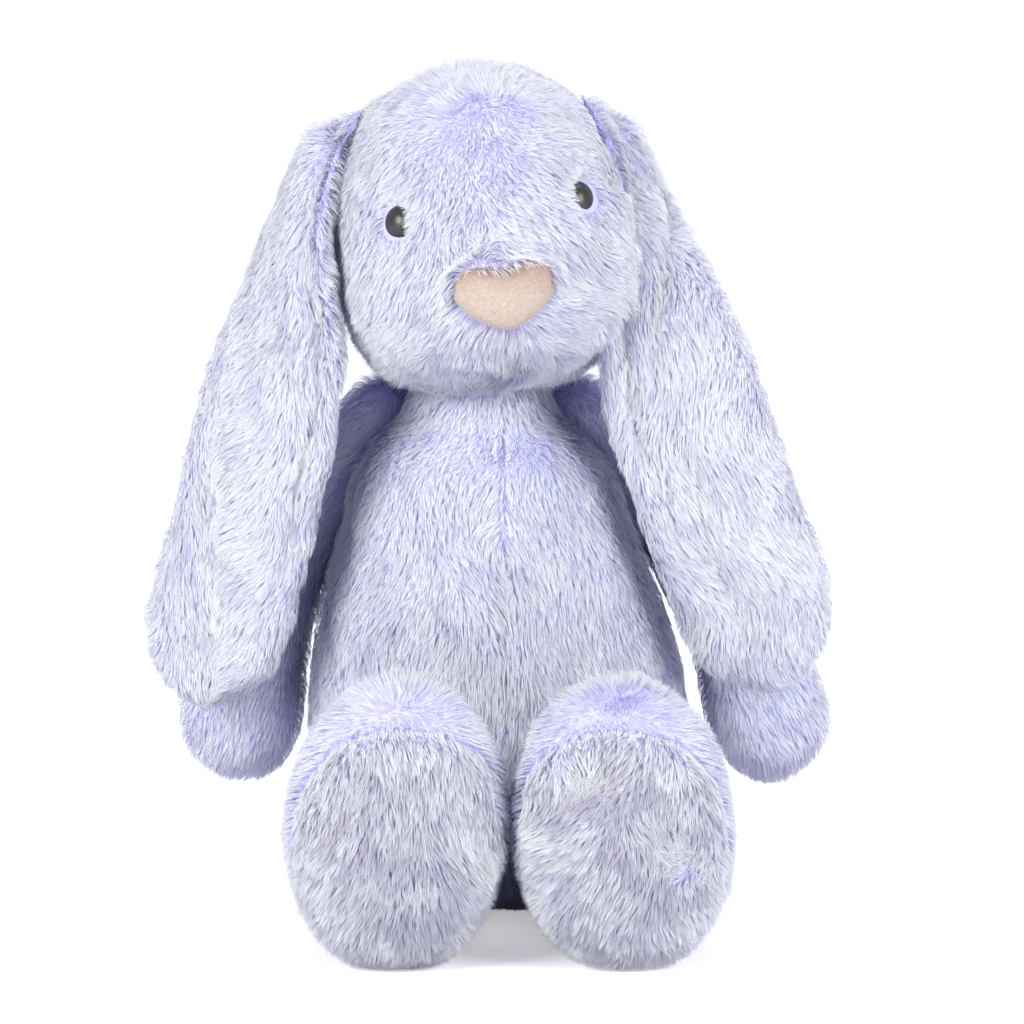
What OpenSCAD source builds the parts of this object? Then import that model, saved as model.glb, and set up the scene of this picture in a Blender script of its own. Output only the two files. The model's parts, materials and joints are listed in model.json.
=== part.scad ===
// Soft toy rabbit with long lop ears, sitting with its legs stretched forward.
// The rabbit faces -Y, +Z is up, and the origin is on the floor below its seat.
// Left and right are the rabbit's own: its left side is at +X.
// Each plush part is a sewn cover (backing plus pile) around a filling.

/* [Plush] */
// Length of the pile, outside the backing
pile = 9; // [5:0.5:14]
// Thickness of the knitted backing
backing = 1.6; // [1:0.1:3]
// Gap between a cover and what it is filled with
stuffing_gap = 0.3; // [0.2:0.05:0.6]
// Gap between parts that move on each other
joint_gap = 0.6; // [0.4:0.1:1.5]

/* [Torso] */
// Width of the seat, at its widest
seat_w = 212; // [180:1:250]
// Depth of the belly from front to back
belly_d = 164; // [140:1:200]
// Width across the chest, below the shoulders
chest_w = 138; // [115:1:165]
// Height of the shoulders above the floor
shoulder_h = 272; // [240:1:310]
// How far the shoulders lean to the rabbit's right
torso_lean = 17; // [0:1:30]
// Diameter of the neck, a ball that the head sits on
neck_d = 80; // [64:1:92]

/* [Head] */
// Width of the head over the cheeks
head_w = 166; // [140:1:190]
// Height of the head from chin to crown
head_h = 180; // [160:1:205]
// Depth of the head from muzzle to back
head_d = 166; // [145:1:190]
// How far the muzzle stands forward of the crown
muzzle = 17; // [8:1:24]
// Sideways lean of the head, in degrees
head_roll = 7.5; // [0:0.5:12]
// Turn of the face to the rabbit's left, in degrees
head_turn = 5; // [0:0.5:12]

/* [Eyes and nose] */
// Diameter of an eye
eye_d = 18; // [12:0.5:22]
// Height of the eye's dome
eye_h = 8; // [6:0.5:10]
// Distance between the two eyes
eye_gap = 102; // [90:1:116]
// Height of the eyes above the middle of the head
eye_lift = 10; // [0:1:20]
// Diameter of the shank behind an eye
shank_d = 6; // [4:0.5:8]
// Length of the shank
shank_l = 14; // [12:0.5:20]
// Diameter of the lock washer on the shank
washer_d = 19; // [14:0.5:24]
// Width of the nose
nose_w = 53; // [40:1:60]
// Height of the nose
nose_h = 35; // [26:1:42]
// Thickness of the nose pad in the middle
nose_t = 13; // [9:0.5:16]
// Drop of the nose below the middle of the head
nose_drop = 33; // [22:1:38]

/* [Ears] */
// Length of an ear along its middle
ear_l = 332; // [280:1:350]
// Width of an ear at its widest
ear_w = 87; // [70:1:96]
// Width of an ear where it is sewn to the head
ear_root_w = 44; // [30:1:56]
// Thickness of one ear panel, of two
ear_panel_t = 11; // [7:0.5:13]
// Distance from the middle of the head to the root of the left ear
left_ear_root_x = 62.5; // [60:0.5:66]
// Distance from the middle of the head to the root of the right ear
right_ear_root_x = 54.5; // [50:0.5:57]
// Height of the left ear's root above the middle of the head
left_ear_root_z = 62; // [58:1:66]
// Height of the right ear's root above the middle of the head
right_ear_root_z = 71; // [67:1:74]

/* [Arms] */
// Length of an arm from its shoulder joint to the tip of the paw
arm_l = 221; // [180:1:240]
// How much the right arm is bunched up at its elbow, and the left one stretched
arm_bunch = 7; // [0:0.5:8]
// Diameter of an arm
arm_d = 52; // [42:1:56]
// Width of a paw
paw_w = 72; // [56:1:80]
// Distance between the two shoulder joints
shoulder_gap = 106; // [96:1:116]
// Lean of the right arm from the vertical, in degrees
right_arm_lean = 25; // [23:1:34]
// Lean of the left arm from the vertical, in degrees
left_arm_lean = 32; // [30:1:40]

/* [Legs] */
// Length of a leg from its hip joint to the sole
leg_l = 188; // [165:1:220]
// Width of a leg
leg_w = 98; // [84:1:104]
// Distance between the two hip joints
hip_gap = 118; // [112:1:126]
// Distance of the hip joints forward of the seat's middle
hip_y = 42; // [34:1:52]
// Width of a foot
foot_w = 114; // [100:1:114]
// Height of a foot from heel to toes
foot_h = 148; // [125:1:165]
// Backward lean of the sole, in degrees
sole_tilt = 10; // [0:1:16]
// Outward turn of a foot about its leg, in degrees
foot_turn = 4; // [0:0.5:5]

/* [Tail] */
// Diameter of the tail
tail_d = 64; // [46:1:80]
// Height of the tail's middle above the floor
tail_z = 66; // [50:1:90]

/* [Motion] */
// Furthest that a leg lifts off the floor, in degrees
leg_lift = 35; // [10:1:35]

/* [Hidden] */
wall = pile + backing;
eps = 0.01;
big = 900;
plush = [0.83, 0.83, 0.94];
stuffing = [0.97, 0.96, 0.92];
bean_cloth = [0.80, 0.78, 0.72];
suede = [0.90, 0.80, 0.75];
black = [0.05, 0.05, 0.06];
clear_white = [0.88, 0.88, 0.86];

// Faces round a form and along it: the skin is finer than what is inside
head_sides = 30;
limb_sides = 20;
skin_rings = 16;
core_sides = 14;
core_rings = 11;

// A station of a form is [height, half width, half depth, middle x, middle y, fullness].
// The floor cuts the seat and the feet flat.
sink = 3;
leg_r = leg_w / 2 - 3;
hip_z = leg_r + 3;
hip = [hip_gap / 2, -hip_y, hip_z];
neck_r = neck_d / 2;
neck_z = shoulder_h + 3;
neck = [-torso_lean, -2, neck_z];
belly_r = belly_d / 2;
seat_r = seat_w / 2;
chest_r = chest_w / 2;

function lean_x(z) = -torso_lean * z / neck_z;

torso_stations = [
    [-sink, 0, 0, 0, 0, 0],
    [-sink + 1, seat_r * 0.62, belly_r * 0.66, 0, 2, 0],
    [18, seat_r * 0.93, belly_r * 0.93, lean_x(18), 2, 0],
    [58, seat_r, belly_r, lean_x(58), 0, 0],
    [105, seat_r, belly_r, lean_x(105), -3, 0],
    [152, seat_r * 0.95, belly_r * 0.94, lean_x(152), -4, 0],
    [205, (seat_r + chest_r) * 0.48, belly_r * 0.82, lean_x(205), -4, 0],
    [shoulder_h - 26, chest_r, belly_r * 0.68, lean_x(shoulder_h - 26), -3, 0],
    [shoulder_h - 13, chest_r * 0.79, neck_r * 1.06, lean_x(shoulder_h - 13), -2, 0],
    [neck_z + neck_r * sin(8), neck_r * cos(8), neck_r * cos(8), neck[0], neck[1], 0],
    [neck_z + neck_r * sin(34), neck_r * cos(34), neck_r * cos(34), neck[0], neck[1], 0],
    [neck_z + neck_r * sin(62), neck_r * cos(62), neck_r * cos(62), neck[0], neck[1], 0],
    [neck_z + neck_r, 0, 0, neck[0], neck[1], 0]
];

head_r = head_w / 2;
head_up = head_h / 2;
head_deep = head_d / 2;
head_mid = [neck[0] + 2.5, -14, neck_z + 2 + head_up];
head_stations = [
    [-head_up, 0, 0, 0, -muzzle * 0.4, 0],
    [-head_up * 0.93, head_r * 0.50, head_deep * 0.50, 0, -muzzle * 0.7, 0],
    [-head_up * 0.74, head_r * 0.83, head_deep * 0.85, 0, -muzzle, 0],
    [-head_up * 0.42, head_r * 0.985, head_deep, 0, -muzzle, 0],
    [-head_up * 0.08, head_r, head_deep * 0.99, 0, -muzzle * 0.62, 0],
    [head_up * 0.26, head_r * 0.955, head_deep * 0.92, 0, -muzzle * 0.25, 0],
    [head_up * 0.56, head_r * 0.83, head_deep * 0.80, 0, 0, 0],
    [head_up * 0.84, head_r * 0.55, head_deep * 0.54, 0, 2, 0],
    [head_up, 0, 0, 0, 3, 0]
];

// Shoulder joints, and the curved forms of the arms hanging from them
arm_r = arm_d / 2;
arm_y = 20;
arm_forward = 14;
shoulder_z = shoulder_h - 12;
arm_bow = 15;
arm_press = 1.3;
leg_press = 0.5;
thigh_ease = 0;
shoulder_ease = 2.2;
function shoulder(side) = [lean_x(shoulder_z) + side * shoulder_gap / 2, arm_y, shoulder_z];
function arm_len(side) = arm_l + side * arm_bunch;
function arm_lean(side) = side > 0 ? left_arm_lean : right_arm_lean;
function arm_stations(side) = [
    [-arm_len(side), 0, 0, 0, -arm_forward, 0],
    [-arm_len(side) + 4, paw_w * 0.26, paw_w * 0.22, side, -arm_forward, 0],
    [-arm_len(side) + 17, paw_w * 0.43, paw_w * 0.36, side * 2, -arm_forward, 0],
    [-arm_len(side) + 40, paw_w / 2, paw_w * 0.40, side * 4, -arm_forward, 0],
    [-arm_len(side) + 76, (paw_w + arm_d) * 0.245, arm_r * 1.02, side * arm_bow * 0.75, -arm_forward * 0.8, 0],
    [-arm_len(side) * 0.42, arm_r, arm_r * 0.98, side * arm_bow, -arm_forward * 0.5, 0],
    [-arm_len(side) * 0.2, arm_r, arm_r * 0.98, side * arm_bow * 0.6, -arm_forward * 0.2, 0],
    [0, arm_r, arm_r, 0, 0, 0],
    [arm_r * sin(45), arm_r * cos(45), arm_r * cos(45), 0, 0, 0],
    [arm_r, 0, 0, 0, 0, 0]
];

// A leg runs from a ball at the hip to a tall foot, whose sole faces forward
foot_full = 0.03;
foot_up = foot_h / 2 + sink / 2;
foot_mid = foot_h / 2 - sink / 2 - hip_z;
leg_stations = [
    [-leg_r, 0, 0, 0, 0, 0],
    [-leg_r * sin(45), leg_r * cos(45), leg_r * cos(45), 0, 0, 0],
    [0, leg_r, leg_r, 0, 0, 0],
    [leg_l * 0.24, leg_w / 2, leg_r, 0, -2, 0],
    [leg_l * 0.44, leg_w / 2, leg_r, 0, -1, 0],
    [leg_l * 0.60, (leg_w + foot_w) / 4, (leg_r + foot_up) / 2, 0, foot_mid * 0.45, foot_full / 2],
    [leg_l - 52, foot_w / 2 * 0.98, foot_up * 0.95, 0, foot_mid, foot_full],
    [leg_l - 32, foot_w / 2, foot_up, 0, foot_mid, foot_full],
    [leg_l - 13, foot_w / 2 * 0.95, foot_up * 0.91, 0, foot_mid - 3, foot_full],
    [leg_l + 2, foot_w / 2 * 0.68, foot_up * 0.63, 0, foot_mid - 8, foot_full],
    [leg_l + 7, 0, 0, 0, foot_mid - 12, foot_full]
];
// The seam of the sole lies this far behind the front of the foot's widest ring
sole_t = 8;

tail_r = tail_d / 2;
tail_mid = [0, belly_r + tail_r * 0.55, tail_z];
tail_lift = 20;
tail_stations = [
    [-tail_r, 0, 0, 0, 0, 0],
    [-tail_r * sin(50), tail_r * cos(50), tail_r * cos(50), 0, 0, 0],
    [0, tail_r, tail_r, 0, 0, 0],
    [tail_r * 0.85, tail_r * 0.74, tail_r * 0.74, 0, 0, 0],
    [tail_r * 1.2, 0, 0, 0, 0, 0]
];

// The lean of each ear from the vertical, from its root to its tip
right_ear_leans = [[0, 62], [0.04, 47], [0.1, 25], [0.15, 16], [0.22, 12], [0.3, 8], [0.42, 10], [0.75, 15], [1, 16]];
left_ear_leans = [[0, 60], [0.05, 38], [0.1, 24], [0.14, 14], [0.3, 11], [0.38, 12], [0.46, 15], [0.64, 20], [0.75, 20], [1, 18]];
// How far the ear has come forward to where it lies, and how far it is twisted there
function ear_lie_y(side) = side > 0 ? -54 : -48;
ear_forward = [[0, 0], [0.12, 0.25], [0.25, 0.6], [0.4, 0.86], [0.6, 0.97], [1, 1]];
right_ear_twist = [[0, 68], [0.12, 68], [0.22, 62], [0.36, 40], [0.55, 28], [1, 22]];
left_ear_twist = [[0, 68], [0.12, 66], [0.22, 56], [0.36, 20], [0.55, 5], [1, 0]];
ear_rows = 17;
ear_cols = 9;
ear_round = 0.84;
ear_top_round = 0.05;
ear_root_y = 4;
function ear_root(side) = head_mid + turned_head(side > 0
    ? [left_ear_root_x, ear_root_y, left_ear_root_z]
    : [-right_ear_root_x, ear_root_y, right_ear_root_z]);

// Turns a point of the head's own frame to where the head leans and looks
function turned_head(p) =
    let (t = [p[0] * cos(head_turn) - p[1] * sin(head_turn), p[0] * sin(head_turn) + p[1] * cos(head_turn), p[2]])
    [t[0] * cos(head_roll) - t[2] * sin(head_roll), t[1], t[0] * sin(head_roll) + t[2] * cos(head_roll)];

// Smooth curve through the stations, whose two ends close as round poles
function pole(s) = [s[0], -s[1], -s[2], s[3], s[4], s[5]];
function station(st, i) = i < 0 ? pole(st[1]) : i >= len(st) ? pole(st[len(st) - 2]) : st[i];
function smooth(st, u) =
    let (i = min(floor(u), len(st) - 2), t = u - i)
    let (a = station(st, i - 1), b = station(st, i), c = station(st, i + 1), d = station(st, i + 2))
    0.5 * (2 * b + (c - a) * t + (2 * a - 5 * b + 4 * c - d) * t * t + (3 * b - a - 3 * c + d) * t * t * t);

// One ring of the form, moved inwards by inset along the form's own normal
function ring(st, u, inset) =
    let (q = smooth(st, u), step = 0.02, last = len(st) - 1)
    let (d = smooth(st, min(u + step, last)) - smooth(st, max(u - step, 0)))
    let (dr = (d[1] + d[2]) / 2, dz = d[0], n = max(norm([dr, dz]), eps))
    [q[0] + inset * dr / n, q[1] - inset * dz / n, q[2] - inset * dz / n, q[3], q[4], q[5]];

// The points of a ring: an ellipse at a fullness of 0, and squarer above that
function bulge(x, fullness) = sign(x) * pow(abs(x), 1 - fullness);
function ring_points(r, sides) = [
    for (j = [0:sides - 1]) let (a = 360 * (j + 0.5) / sides)
        [r[3] + r[1] * bulge(cos(a), r[5]), r[4] + r[2] * bulge(sin(a), r[5]), r[0]]
];

// A closed round form through the stations
module form(st, sides, rings, inset = 0) {
    last = len(st) - 1;
    low = ring(st, 0, 0)[0] + inset;
    high = ring(st, last, 0)[0] - inset;
    body = [for (i = [1:rings - 1]) each ring_points(ring(st, last * i / rings, inset), sides)];
    points = concat([[st[0][3], st[0][4], low]], body, [[st[last][3], st[last][4], high]]);
    top = len(points) - 1;
    function at(i, j) = 1 + (i - 1) * sides + j % sides;
    polyhedron(points = points, faces = concat(
        [for (j = [0:sides - 1]) [0, at(1, j), at(1, j + 1)]],
        [for (i = [1:rings - 2], j = [0:sides - 1]) [at(i, j), at(i + 1, j), at(i + 1, j + 1)]],
        [for (i = [1:rings - 2], j = [0:sides - 1]) [at(i, j), at(i + 1, j + 1), at(i, j + 1)]],
        [for (j = [0:sides - 1]) [top, at(rings - 1, j + 1), at(rings - 1, j)]]
    ));
}

module skin_form(st, sides = limb_sides) form(st, sides, skin_rings);
module core_form(st, inset) form(st, core_sides, core_rings, inset);

// Takes away all that lies below a height
module above(z) {
    difference() {
        children();
        translate([-big / 2, -big / 2, z - big]) cube([big, big, big]);
    }
}

// Where the limbs are let into the torso, grown by a margin
module torso_sockets(margin) {
    for (side = [-1, 1]) {
        translate(shoulder(side)) sphere(r = arm_r + margin + shoulder_ease, $fn = 48);
        in_arm(side) form(arm_stations(side), core_sides, core_rings, -margin - arm_press);
        for (angle = [0, leg_lift / 2, leg_lift])
            translate([side * hip[0], hip[1], hip[2]]) rotate([90 - angle, 0, 0]) {
                sphere(r = leg_r + margin + leg_press, $fn = 48);
                translate([0, 0, 4]) cylinder(r = leg_w / 2 + margin + thigh_ease, h = leg_l * 0.6, $fn = 48);
            }
    }
}

module torso_cover() {
    color(plush) difference() {
        above(0) skin_form(torso_stations, head_sides);
        torso_core(wall);
        torso_sockets(joint_gap);
    }
}

module torso_core(inset) {
    above(inset) difference() {
        core_form(torso_stations, inset);
        torso_sockets(joint_gap + inset);
    }
}

module torso_filling() {
    color(stuffing) difference() {
        torso_core(wall + stuffing_gap);
        seat_pellets(stuffing_gap);
    }
}

module seat_bean_bag() color(bean_cloth) seat_pellets(0);

// A flat round bag of pellets, grown by a margin
module pellet_bag(r, t, margin) {
    rotate_extrude($fn = 48) intersection() {
        translate([0, -t]) square([r + t, 2 * t]);
        union() {
            translate([0, -t / 2 - margin]) square([r - t / 2, t + 2 * margin]);
            translate([r - t / 2, 0]) circle(r = t / 2 + margin, $fn = 32);
        }
    }
}

seat_bag_r = 33;
seat_bag_t = 26;
seat_bag_y = belly_r - wall - seat_bag_r - 10;
module seat_pellets(margin)
    translate([0, seat_bag_y, wall + stuffing_gap + 6 + seat_bag_t / 2]) pellet_bag(seat_bag_r, seat_bag_t, margin);

module tail_form(inset) {
    difference() {
        translate(tail_mid) rotate([-tail_lift, 0, 0]) form(tail_stations, core_sides, core_rings, inset);
        form(torso_stations, head_sides, skin_rings, -stuffing_gap);
    }
}

module tail_cover() {
    color(plush) difference() {
        tail_form(0);
        tail_form(wall);
    }
}

module tail_filling() {
    color(stuffing) difference() {
        tail_form(wall + stuffing_gap);
        form(torso_stations, core_sides, core_rings, -stuffing_gap);
    }
}

module in_head() translate(head_mid) rotate([0, -head_roll, 0]) rotate([0, 0, head_turn]) children();

// An eye sits on the head where its height and the gap between the eyes put it
eye_ring = ring(head_stations, eye_u(eye_lift), 0);
function eye_u(z) = lookup(z, [for (i = [0:len(head_stations) - 1]) [head_stations[i][0], i]]);
eye_c = eye_gap / 2 / eye_ring[1];
eye_s = sqrt(1 - eye_c * eye_c);
eye_out = atan2(eye_c * eye_ring[2], eye_s * eye_ring[1]);
eye_proud = 2.5;

// Local frame of an eye: z out of the head, zero on the surface of the pile
module at_eye(side)
    in_head() translate([side * eye_gap / 2, eye_ring[4] - eye_s * eye_ring[2], eye_lift])
        rotate([90, 0, side * eye_out]) children();

// The eye's base is below the pile, by the dome's height less what stands proud
eye_base = eye_proud - eye_h;
washer_t = 1.6;
washer_collar = 1.5;
washer_z = eye_base - shank_l + 4;

module eye_pockets(margin) {
    for (side = [-1, 1]) at_eye(side) {
        translate([0, 0, eye_base - stuffing_gap]) cylinder(r = eye_d / 2 + margin, h = pile * 3, $fn = 40);
        translate([0, 0, eye_base - shank_l - 1]) cylinder(r = shank_d / 2 + margin, h = shank_l + 1, $fn = 32);
    }
}

module washer_pockets(margin) {
    for (side = [-1, 1]) at_eye(side) translate([0, 0, washer_z - washer_collar - margin])
        cylinder(r = washer_d / 2 + margin, h = washer_collar + washer_t + 2 * margin, $fn = 40);
}

module eye(side) {
    color(black) at_eye(side) translate([0, 0, eye_base]) rotate_extrude($fn = 48) {
        difference() {
            scale([eye_d / 2, eye_h]) circle(r = 1, $fn = 48);
            translate([-eye_d, -2 * eye_d]) square([2 * eye_d, 2 * eye_d]);
            translate([-eye_d, -eps]) square([eye_d, 2 * eye_h]);
        }
        translate([0, -shank_l]) square([shank_d / 2, shank_l + eps]);
    }
}

module left_eye() eye(1);
module right_eye() eye(-1);

module eye_washer(side) {
    color(clear_white) at_eye(side) translate([0, 0, washer_z]) rotate_extrude($fn = 48) {
        translate([shank_d / 2 + 0.05, 0]) square([washer_d / 2 - shank_d / 2, washer_t]);
        translate([shank_d / 2 + 0.05, -washer_collar]) square([1.6, washer_collar + eps]);
    }
}

module left_eye_washer() eye_washer(1);
module right_eye_washer() eye_washer(-1);

// The nose pad: a soft triangle with round corners, fuller in the middle
nose_ring = ring(head_stations, eye_u(-nose_drop), 0);
nose_corner = 11;
nose_tip_r = 9;
nose_lean = 8;
nose_sunk = 7;
module nose_outline(margin) {
    hull() {
        for (side = [-1, 1])
            translate([side * (nose_w / 2 - nose_corner), nose_h / 2 - nose_corner]) circle(r = nose_corner + margin, $fn = 32);
        translate([0, -nose_h / 2 + nose_tip_r]) circle(r = nose_tip_r + margin, $fn = 32);
    }
}

module at_nose()
    in_head() translate([0, nose_ring[4] - nose_ring[2], -nose_drop]) rotate([90 - nose_lean, 0, 0]) children();

module nose_pocket() at_nose() translate([0, 0, -nose_sunk - stuffing_gap]) linear_extrude(pile * 3) nose_outline(stuffing_gap);

module nose() {
    color(suede) at_nose() translate([0, 0, -nose_sunk]) intersection() {
        linear_extrude(nose_t) nose_outline(0);
        scale([nose_w * 0.72, nose_h * 0.85, nose_t]) sphere(r = 1, $fn = 48);
    }
}

module neck_ball(margin) translate(neck) sphere(r = neck_r + margin, $fn = 64);

module head_core(inset) {
    difference() {
        in_head() core_form(head_stations, inset);
        neck_ball(joint_gap + inset);
    }
}

// The ears press shallow beds into the plush at the sides of the head
module ear_beds(margin) for (side = [-1, 1], face = [-1, 1]) ear_panel(side, face, margin);

module head_cover() {
    color(plush) difference() {
        in_head() skin_form(head_stations, head_sides);
        head_core(wall);
        neck_ball(joint_gap);
        eye_pockets(stuffing_gap);
        washer_pockets(stuffing_gap);
        nose_pocket();
        ear_beds(joint_gap);
    }
}

module head_filling() {
    color(stuffing) difference() {
        head_core(wall + stuffing_gap);
        eye_pockets(stuffing_gap);
        washer_pockets(stuffing_gap);
        ear_beds(joint_gap);
    }
}

// Middle line of an ear, walked down from its root in short steps
function ear_leans_of(side) = side > 0 ? left_ear_leans : right_ear_leans;
function ear_walk(side, u, n = 24) =
    let (s = [for (i = [0:n - 1]) lookup(u * (i + 0.5) / n, ear_leans_of(side))])
    [side * ear_l * u / n * sum([for (a = s) sin(a)]), -ear_l * u / n * sum([for (a = s) cos(a)])];
function sum(v, i = 0) = i >= len(v) ? 0 : v[i] + sum(v, i + 1);
function ear_half_w(u) =
    let (w = ear_root_w + (ear_w - ear_root_w) * (0.5 - 0.5 * cos(180 * min(u / 0.55, 1))))
    w / 2 * ear_end(u < ear_top_round ? 1 - u / ear_top_round : (u - ear_round) / (1 - ear_round));
function ear_end(t) = t > 0 ? sqrt(max(1 - t * t, 0.03)) : 1;

// A point of the ear: u runs down it, v across it, and t is the height off its middle sheet
function ear_point(side, u, v, t) =
    let (w = ear_walk(side, u), a = lookup(u, ear_leans_of(side)), k = lookup(u, side > 0 ? left_ear_twist : right_ear_twist))
    let (across = [side * cos(a) * cos(k), sin(k), sin(a) * cos(k)])
    let (out = [side * cos(a) * sin(k), -cos(k), sin(a) * sin(k)])
    ear_root(side) + [w[0], (ear_lie_y(side) - ear_root(side)[1]) * lookup(u, ear_forward), w[1]] + across * v * ear_half_w(u) + out * t;

// One of the two panels of an ear, front (1) or back (-1), full in the middle, or grown by a margin
ear_edge_t = 3;
module ear_panel(side, face, margin = 0) {
    rows = ear_rows;
    cols = ear_cols;
    inner_t = margin > 0 ? -margin : stuffing_gap / 2;
    function fall(i) = 1 - pow(1 - i / rows, 1.35);
    function thick(u, v) = ear_edge_t + (ear_panel_t - ear_edge_t) * sqrt(max(1 - v * v, 0)) * min(1, 0.1 + 1.7 * u);
    function grid(inner) = [
        for (i = [0:rows], j = [0:cols])
            let (u = fall(i) + (2 * fall(i) - 1) * margin / ear_l, v = -cos(180 * j / cols))
            ear_point(side, u, v * (1 + margin / ear_half_w(u)), face * (inner ? inner_t : thick(u, v) + margin))
    ];
    function at(layer, i, j) = layer * (rows + 1) * (cols + 1) + i * (cols + 1) + j;
    function turn(f) = side * face > 0 ? f : [for (k = [len(f) - 1:-1:0]) f[k]];
    function quad(a, b, c, d) = [turn([a, b, c]), turn([a, c, d])];
    skin = [for (i = [0:rows - 1], j = [0:cols - 1])
        each quad(at(0, i, j), at(0, i, j + 1), at(0, i + 1, j + 1), at(0, i + 1, j))];
    back = [for (i = [0:rows - 1], j = [0:cols - 1])
        each quad(at(1, i + 1, j), at(1, i + 1, j + 1), at(1, i, j + 1), at(1, i, j))];
    edges = [for (i = [0:rows - 1]) each concat(
        quad(at(0, i + 1, 0), at(1, i + 1, 0), at(1, i, 0), at(0, i, 0)),
        quad(at(0, i, cols), at(1, i, cols), at(1, i + 1, cols), at(0, i + 1, cols)))];
    ends = [for (j = [0:cols - 1]) each concat(
        quad(at(0, 0, j), at(1, 0, j), at(1, 0, j + 1), at(0, 0, j + 1)),
        quad(at(0, rows, j + 1), at(1, rows, j + 1), at(1, rows, j), at(0, rows, j)))];
    polyhedron(points = concat(grid(false), grid(true)), faces = concat(skin, back, edges, ends));
}

module left_ear_front() color(plush) ear_panel(1, 1);
module left_ear_back() color(plush) ear_panel(1, -1);
module right_ear_front() color(plush) ear_panel(-1, 1);
module right_ear_back() color(plush) ear_panel(-1, -1);

module in_arm(side) translate(shoulder(side)) rotate([0, -side * arm_lean(side), 0]) children();

paw_bag_r = paw_w * 0.22;
module paw_pellets(side, margin)
    in_arm(side) translate([side * 4, -arm_forward, -arm_len(side) + wall + 8 + paw_bag_r]) sphere(r = paw_bag_r + margin, $fn = 40);

module arm_cover(side) {
    color(plush) in_arm(side) difference() {
        skin_form(arm_stations(side));
        core_form(arm_stations(side), wall);
    }
}

module arm_filling(side) {
    color(stuffing) difference() {
        in_arm(side) core_form(arm_stations(side), wall + stuffing_gap);
        paw_pellets(side, stuffing_gap);
    }
}

module left_arm_cover() arm_cover(1);
module left_arm_filling() arm_filling(1);
module left_paw_bean_bag() color(bean_cloth) paw_pellets(1, 0);
module right_arm_cover() arm_cover(-1);
module right_arm_filling() arm_filling(-1);
module right_paw_bean_bag() color(bean_cloth) paw_pellets(-1, 0);

module in_leg(side)
    translate([side * hip[0], hip[1], hip[2]]) rotate([90, 0, 0]) rotate([0, 0, side * foot_turn]) children();

// All that lies in front of the seam of the sole, moved forward by a shift
module sole_side(shift)
    translate([0, foot_mid, leg_l - sole_t + shift]) rotate([sole_tilt, 0, 0]) translate([-big / 2, -big / 2, 0]) cube([big, big, big]);

module leg_cover(side) {
    color(plush) difference() {
        above(0) in_leg(side) skin_form(leg_stations);
        leg_core(side, wall);
        in_leg(side) sole_side(0);
    }
}

module leg_core(side, inset) above(inset) in_leg(side) core_form(leg_stations, inset);

module foot_sole(side) {
    color(plush) above(0) in_leg(side) intersection() {
        skin_form(leg_stations);
        sole_side(stuffing_gap);
    }
}

foot_bag_r = foot_w * 0.30;
foot_bag_t = 22;
module foot_pellets(side, margin)
    in_leg(side) translate([0, foot_mid - 8, leg_l - sole_t - 26 - foot_bag_t / 2]) pellet_bag(foot_bag_r, foot_bag_t, margin);

module leg_filling(side) {
    color(stuffing) difference() {
        leg_core(side, wall + stuffing_gap);
        in_leg(side) sole_side(-stuffing_gap);
        foot_pellets(side, stuffing_gap);
    }
}

module left_leg_cover() leg_cover(1);
module left_leg_filling() leg_filling(1);
module left_foot_sole() foot_sole(1);
module left_foot_bean_bag() color(bean_cloth) foot_pellets(1, 0);
module right_leg_cover() leg_cover(-1);
module right_leg_filling() leg_filling(-1);
module right_foot_sole() foot_sole(-1);
module right_foot_bean_bag() color(bean_cloth) foot_pellets(-1, 0);

torso_cover();
torso_filling();
seat_bean_bag();
tail_cover();
tail_filling();
head_cover();
head_filling();
nose();
left_eye();
right_eye();
left_eye_washer();
right_eye_washer();
left_ear_front();
left_ear_back();
right_ear_front();
right_ear_back();
left_arm_cover();
left_arm_filling();
left_paw_bean_bag();
right_arm_cover();
right_arm_filling();
right_paw_bean_bag();
left_leg_cover();
left_leg_filling();
left_foot_sole();
left_foot_bean_bag();
right_leg_cover();
right_leg_filling();
right_foot_sole();
right_foot_bean_bag();
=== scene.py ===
# %% [markdown]
# # A soft rabbit in long-pile plush
# The rabbit is a set of stuffed covers with fur on them. The frame already holds every solid in its
# place, so this lesson dresses it: padded skins first, then the pile that grows on them, then the
# nose and the eyes, and last the studio. All lengths are in metres.

# %% Load the frame
import json
import math
import time
import bpy
import numpy as np
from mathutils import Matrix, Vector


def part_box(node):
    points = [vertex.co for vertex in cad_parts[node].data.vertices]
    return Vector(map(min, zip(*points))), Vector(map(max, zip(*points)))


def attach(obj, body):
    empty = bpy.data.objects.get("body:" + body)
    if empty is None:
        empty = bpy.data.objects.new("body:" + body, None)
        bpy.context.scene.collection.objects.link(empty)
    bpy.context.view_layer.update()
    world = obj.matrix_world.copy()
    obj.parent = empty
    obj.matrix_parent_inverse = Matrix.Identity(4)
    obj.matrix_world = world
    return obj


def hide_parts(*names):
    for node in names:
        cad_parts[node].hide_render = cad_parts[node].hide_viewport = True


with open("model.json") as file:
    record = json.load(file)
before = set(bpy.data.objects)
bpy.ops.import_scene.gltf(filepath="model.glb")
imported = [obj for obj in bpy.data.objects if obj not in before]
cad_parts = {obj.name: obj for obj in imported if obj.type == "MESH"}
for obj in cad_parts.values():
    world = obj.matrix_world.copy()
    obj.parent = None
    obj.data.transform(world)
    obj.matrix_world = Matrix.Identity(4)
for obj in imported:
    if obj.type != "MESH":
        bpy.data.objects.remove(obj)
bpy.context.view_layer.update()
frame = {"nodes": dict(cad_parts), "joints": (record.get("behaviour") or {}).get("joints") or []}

nodes = frame["nodes"]
scene = bpy.context.scene
started = time.time()
MM = 0.001
SIDE_SIGN = {"left": 1, "right": -1}

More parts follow.
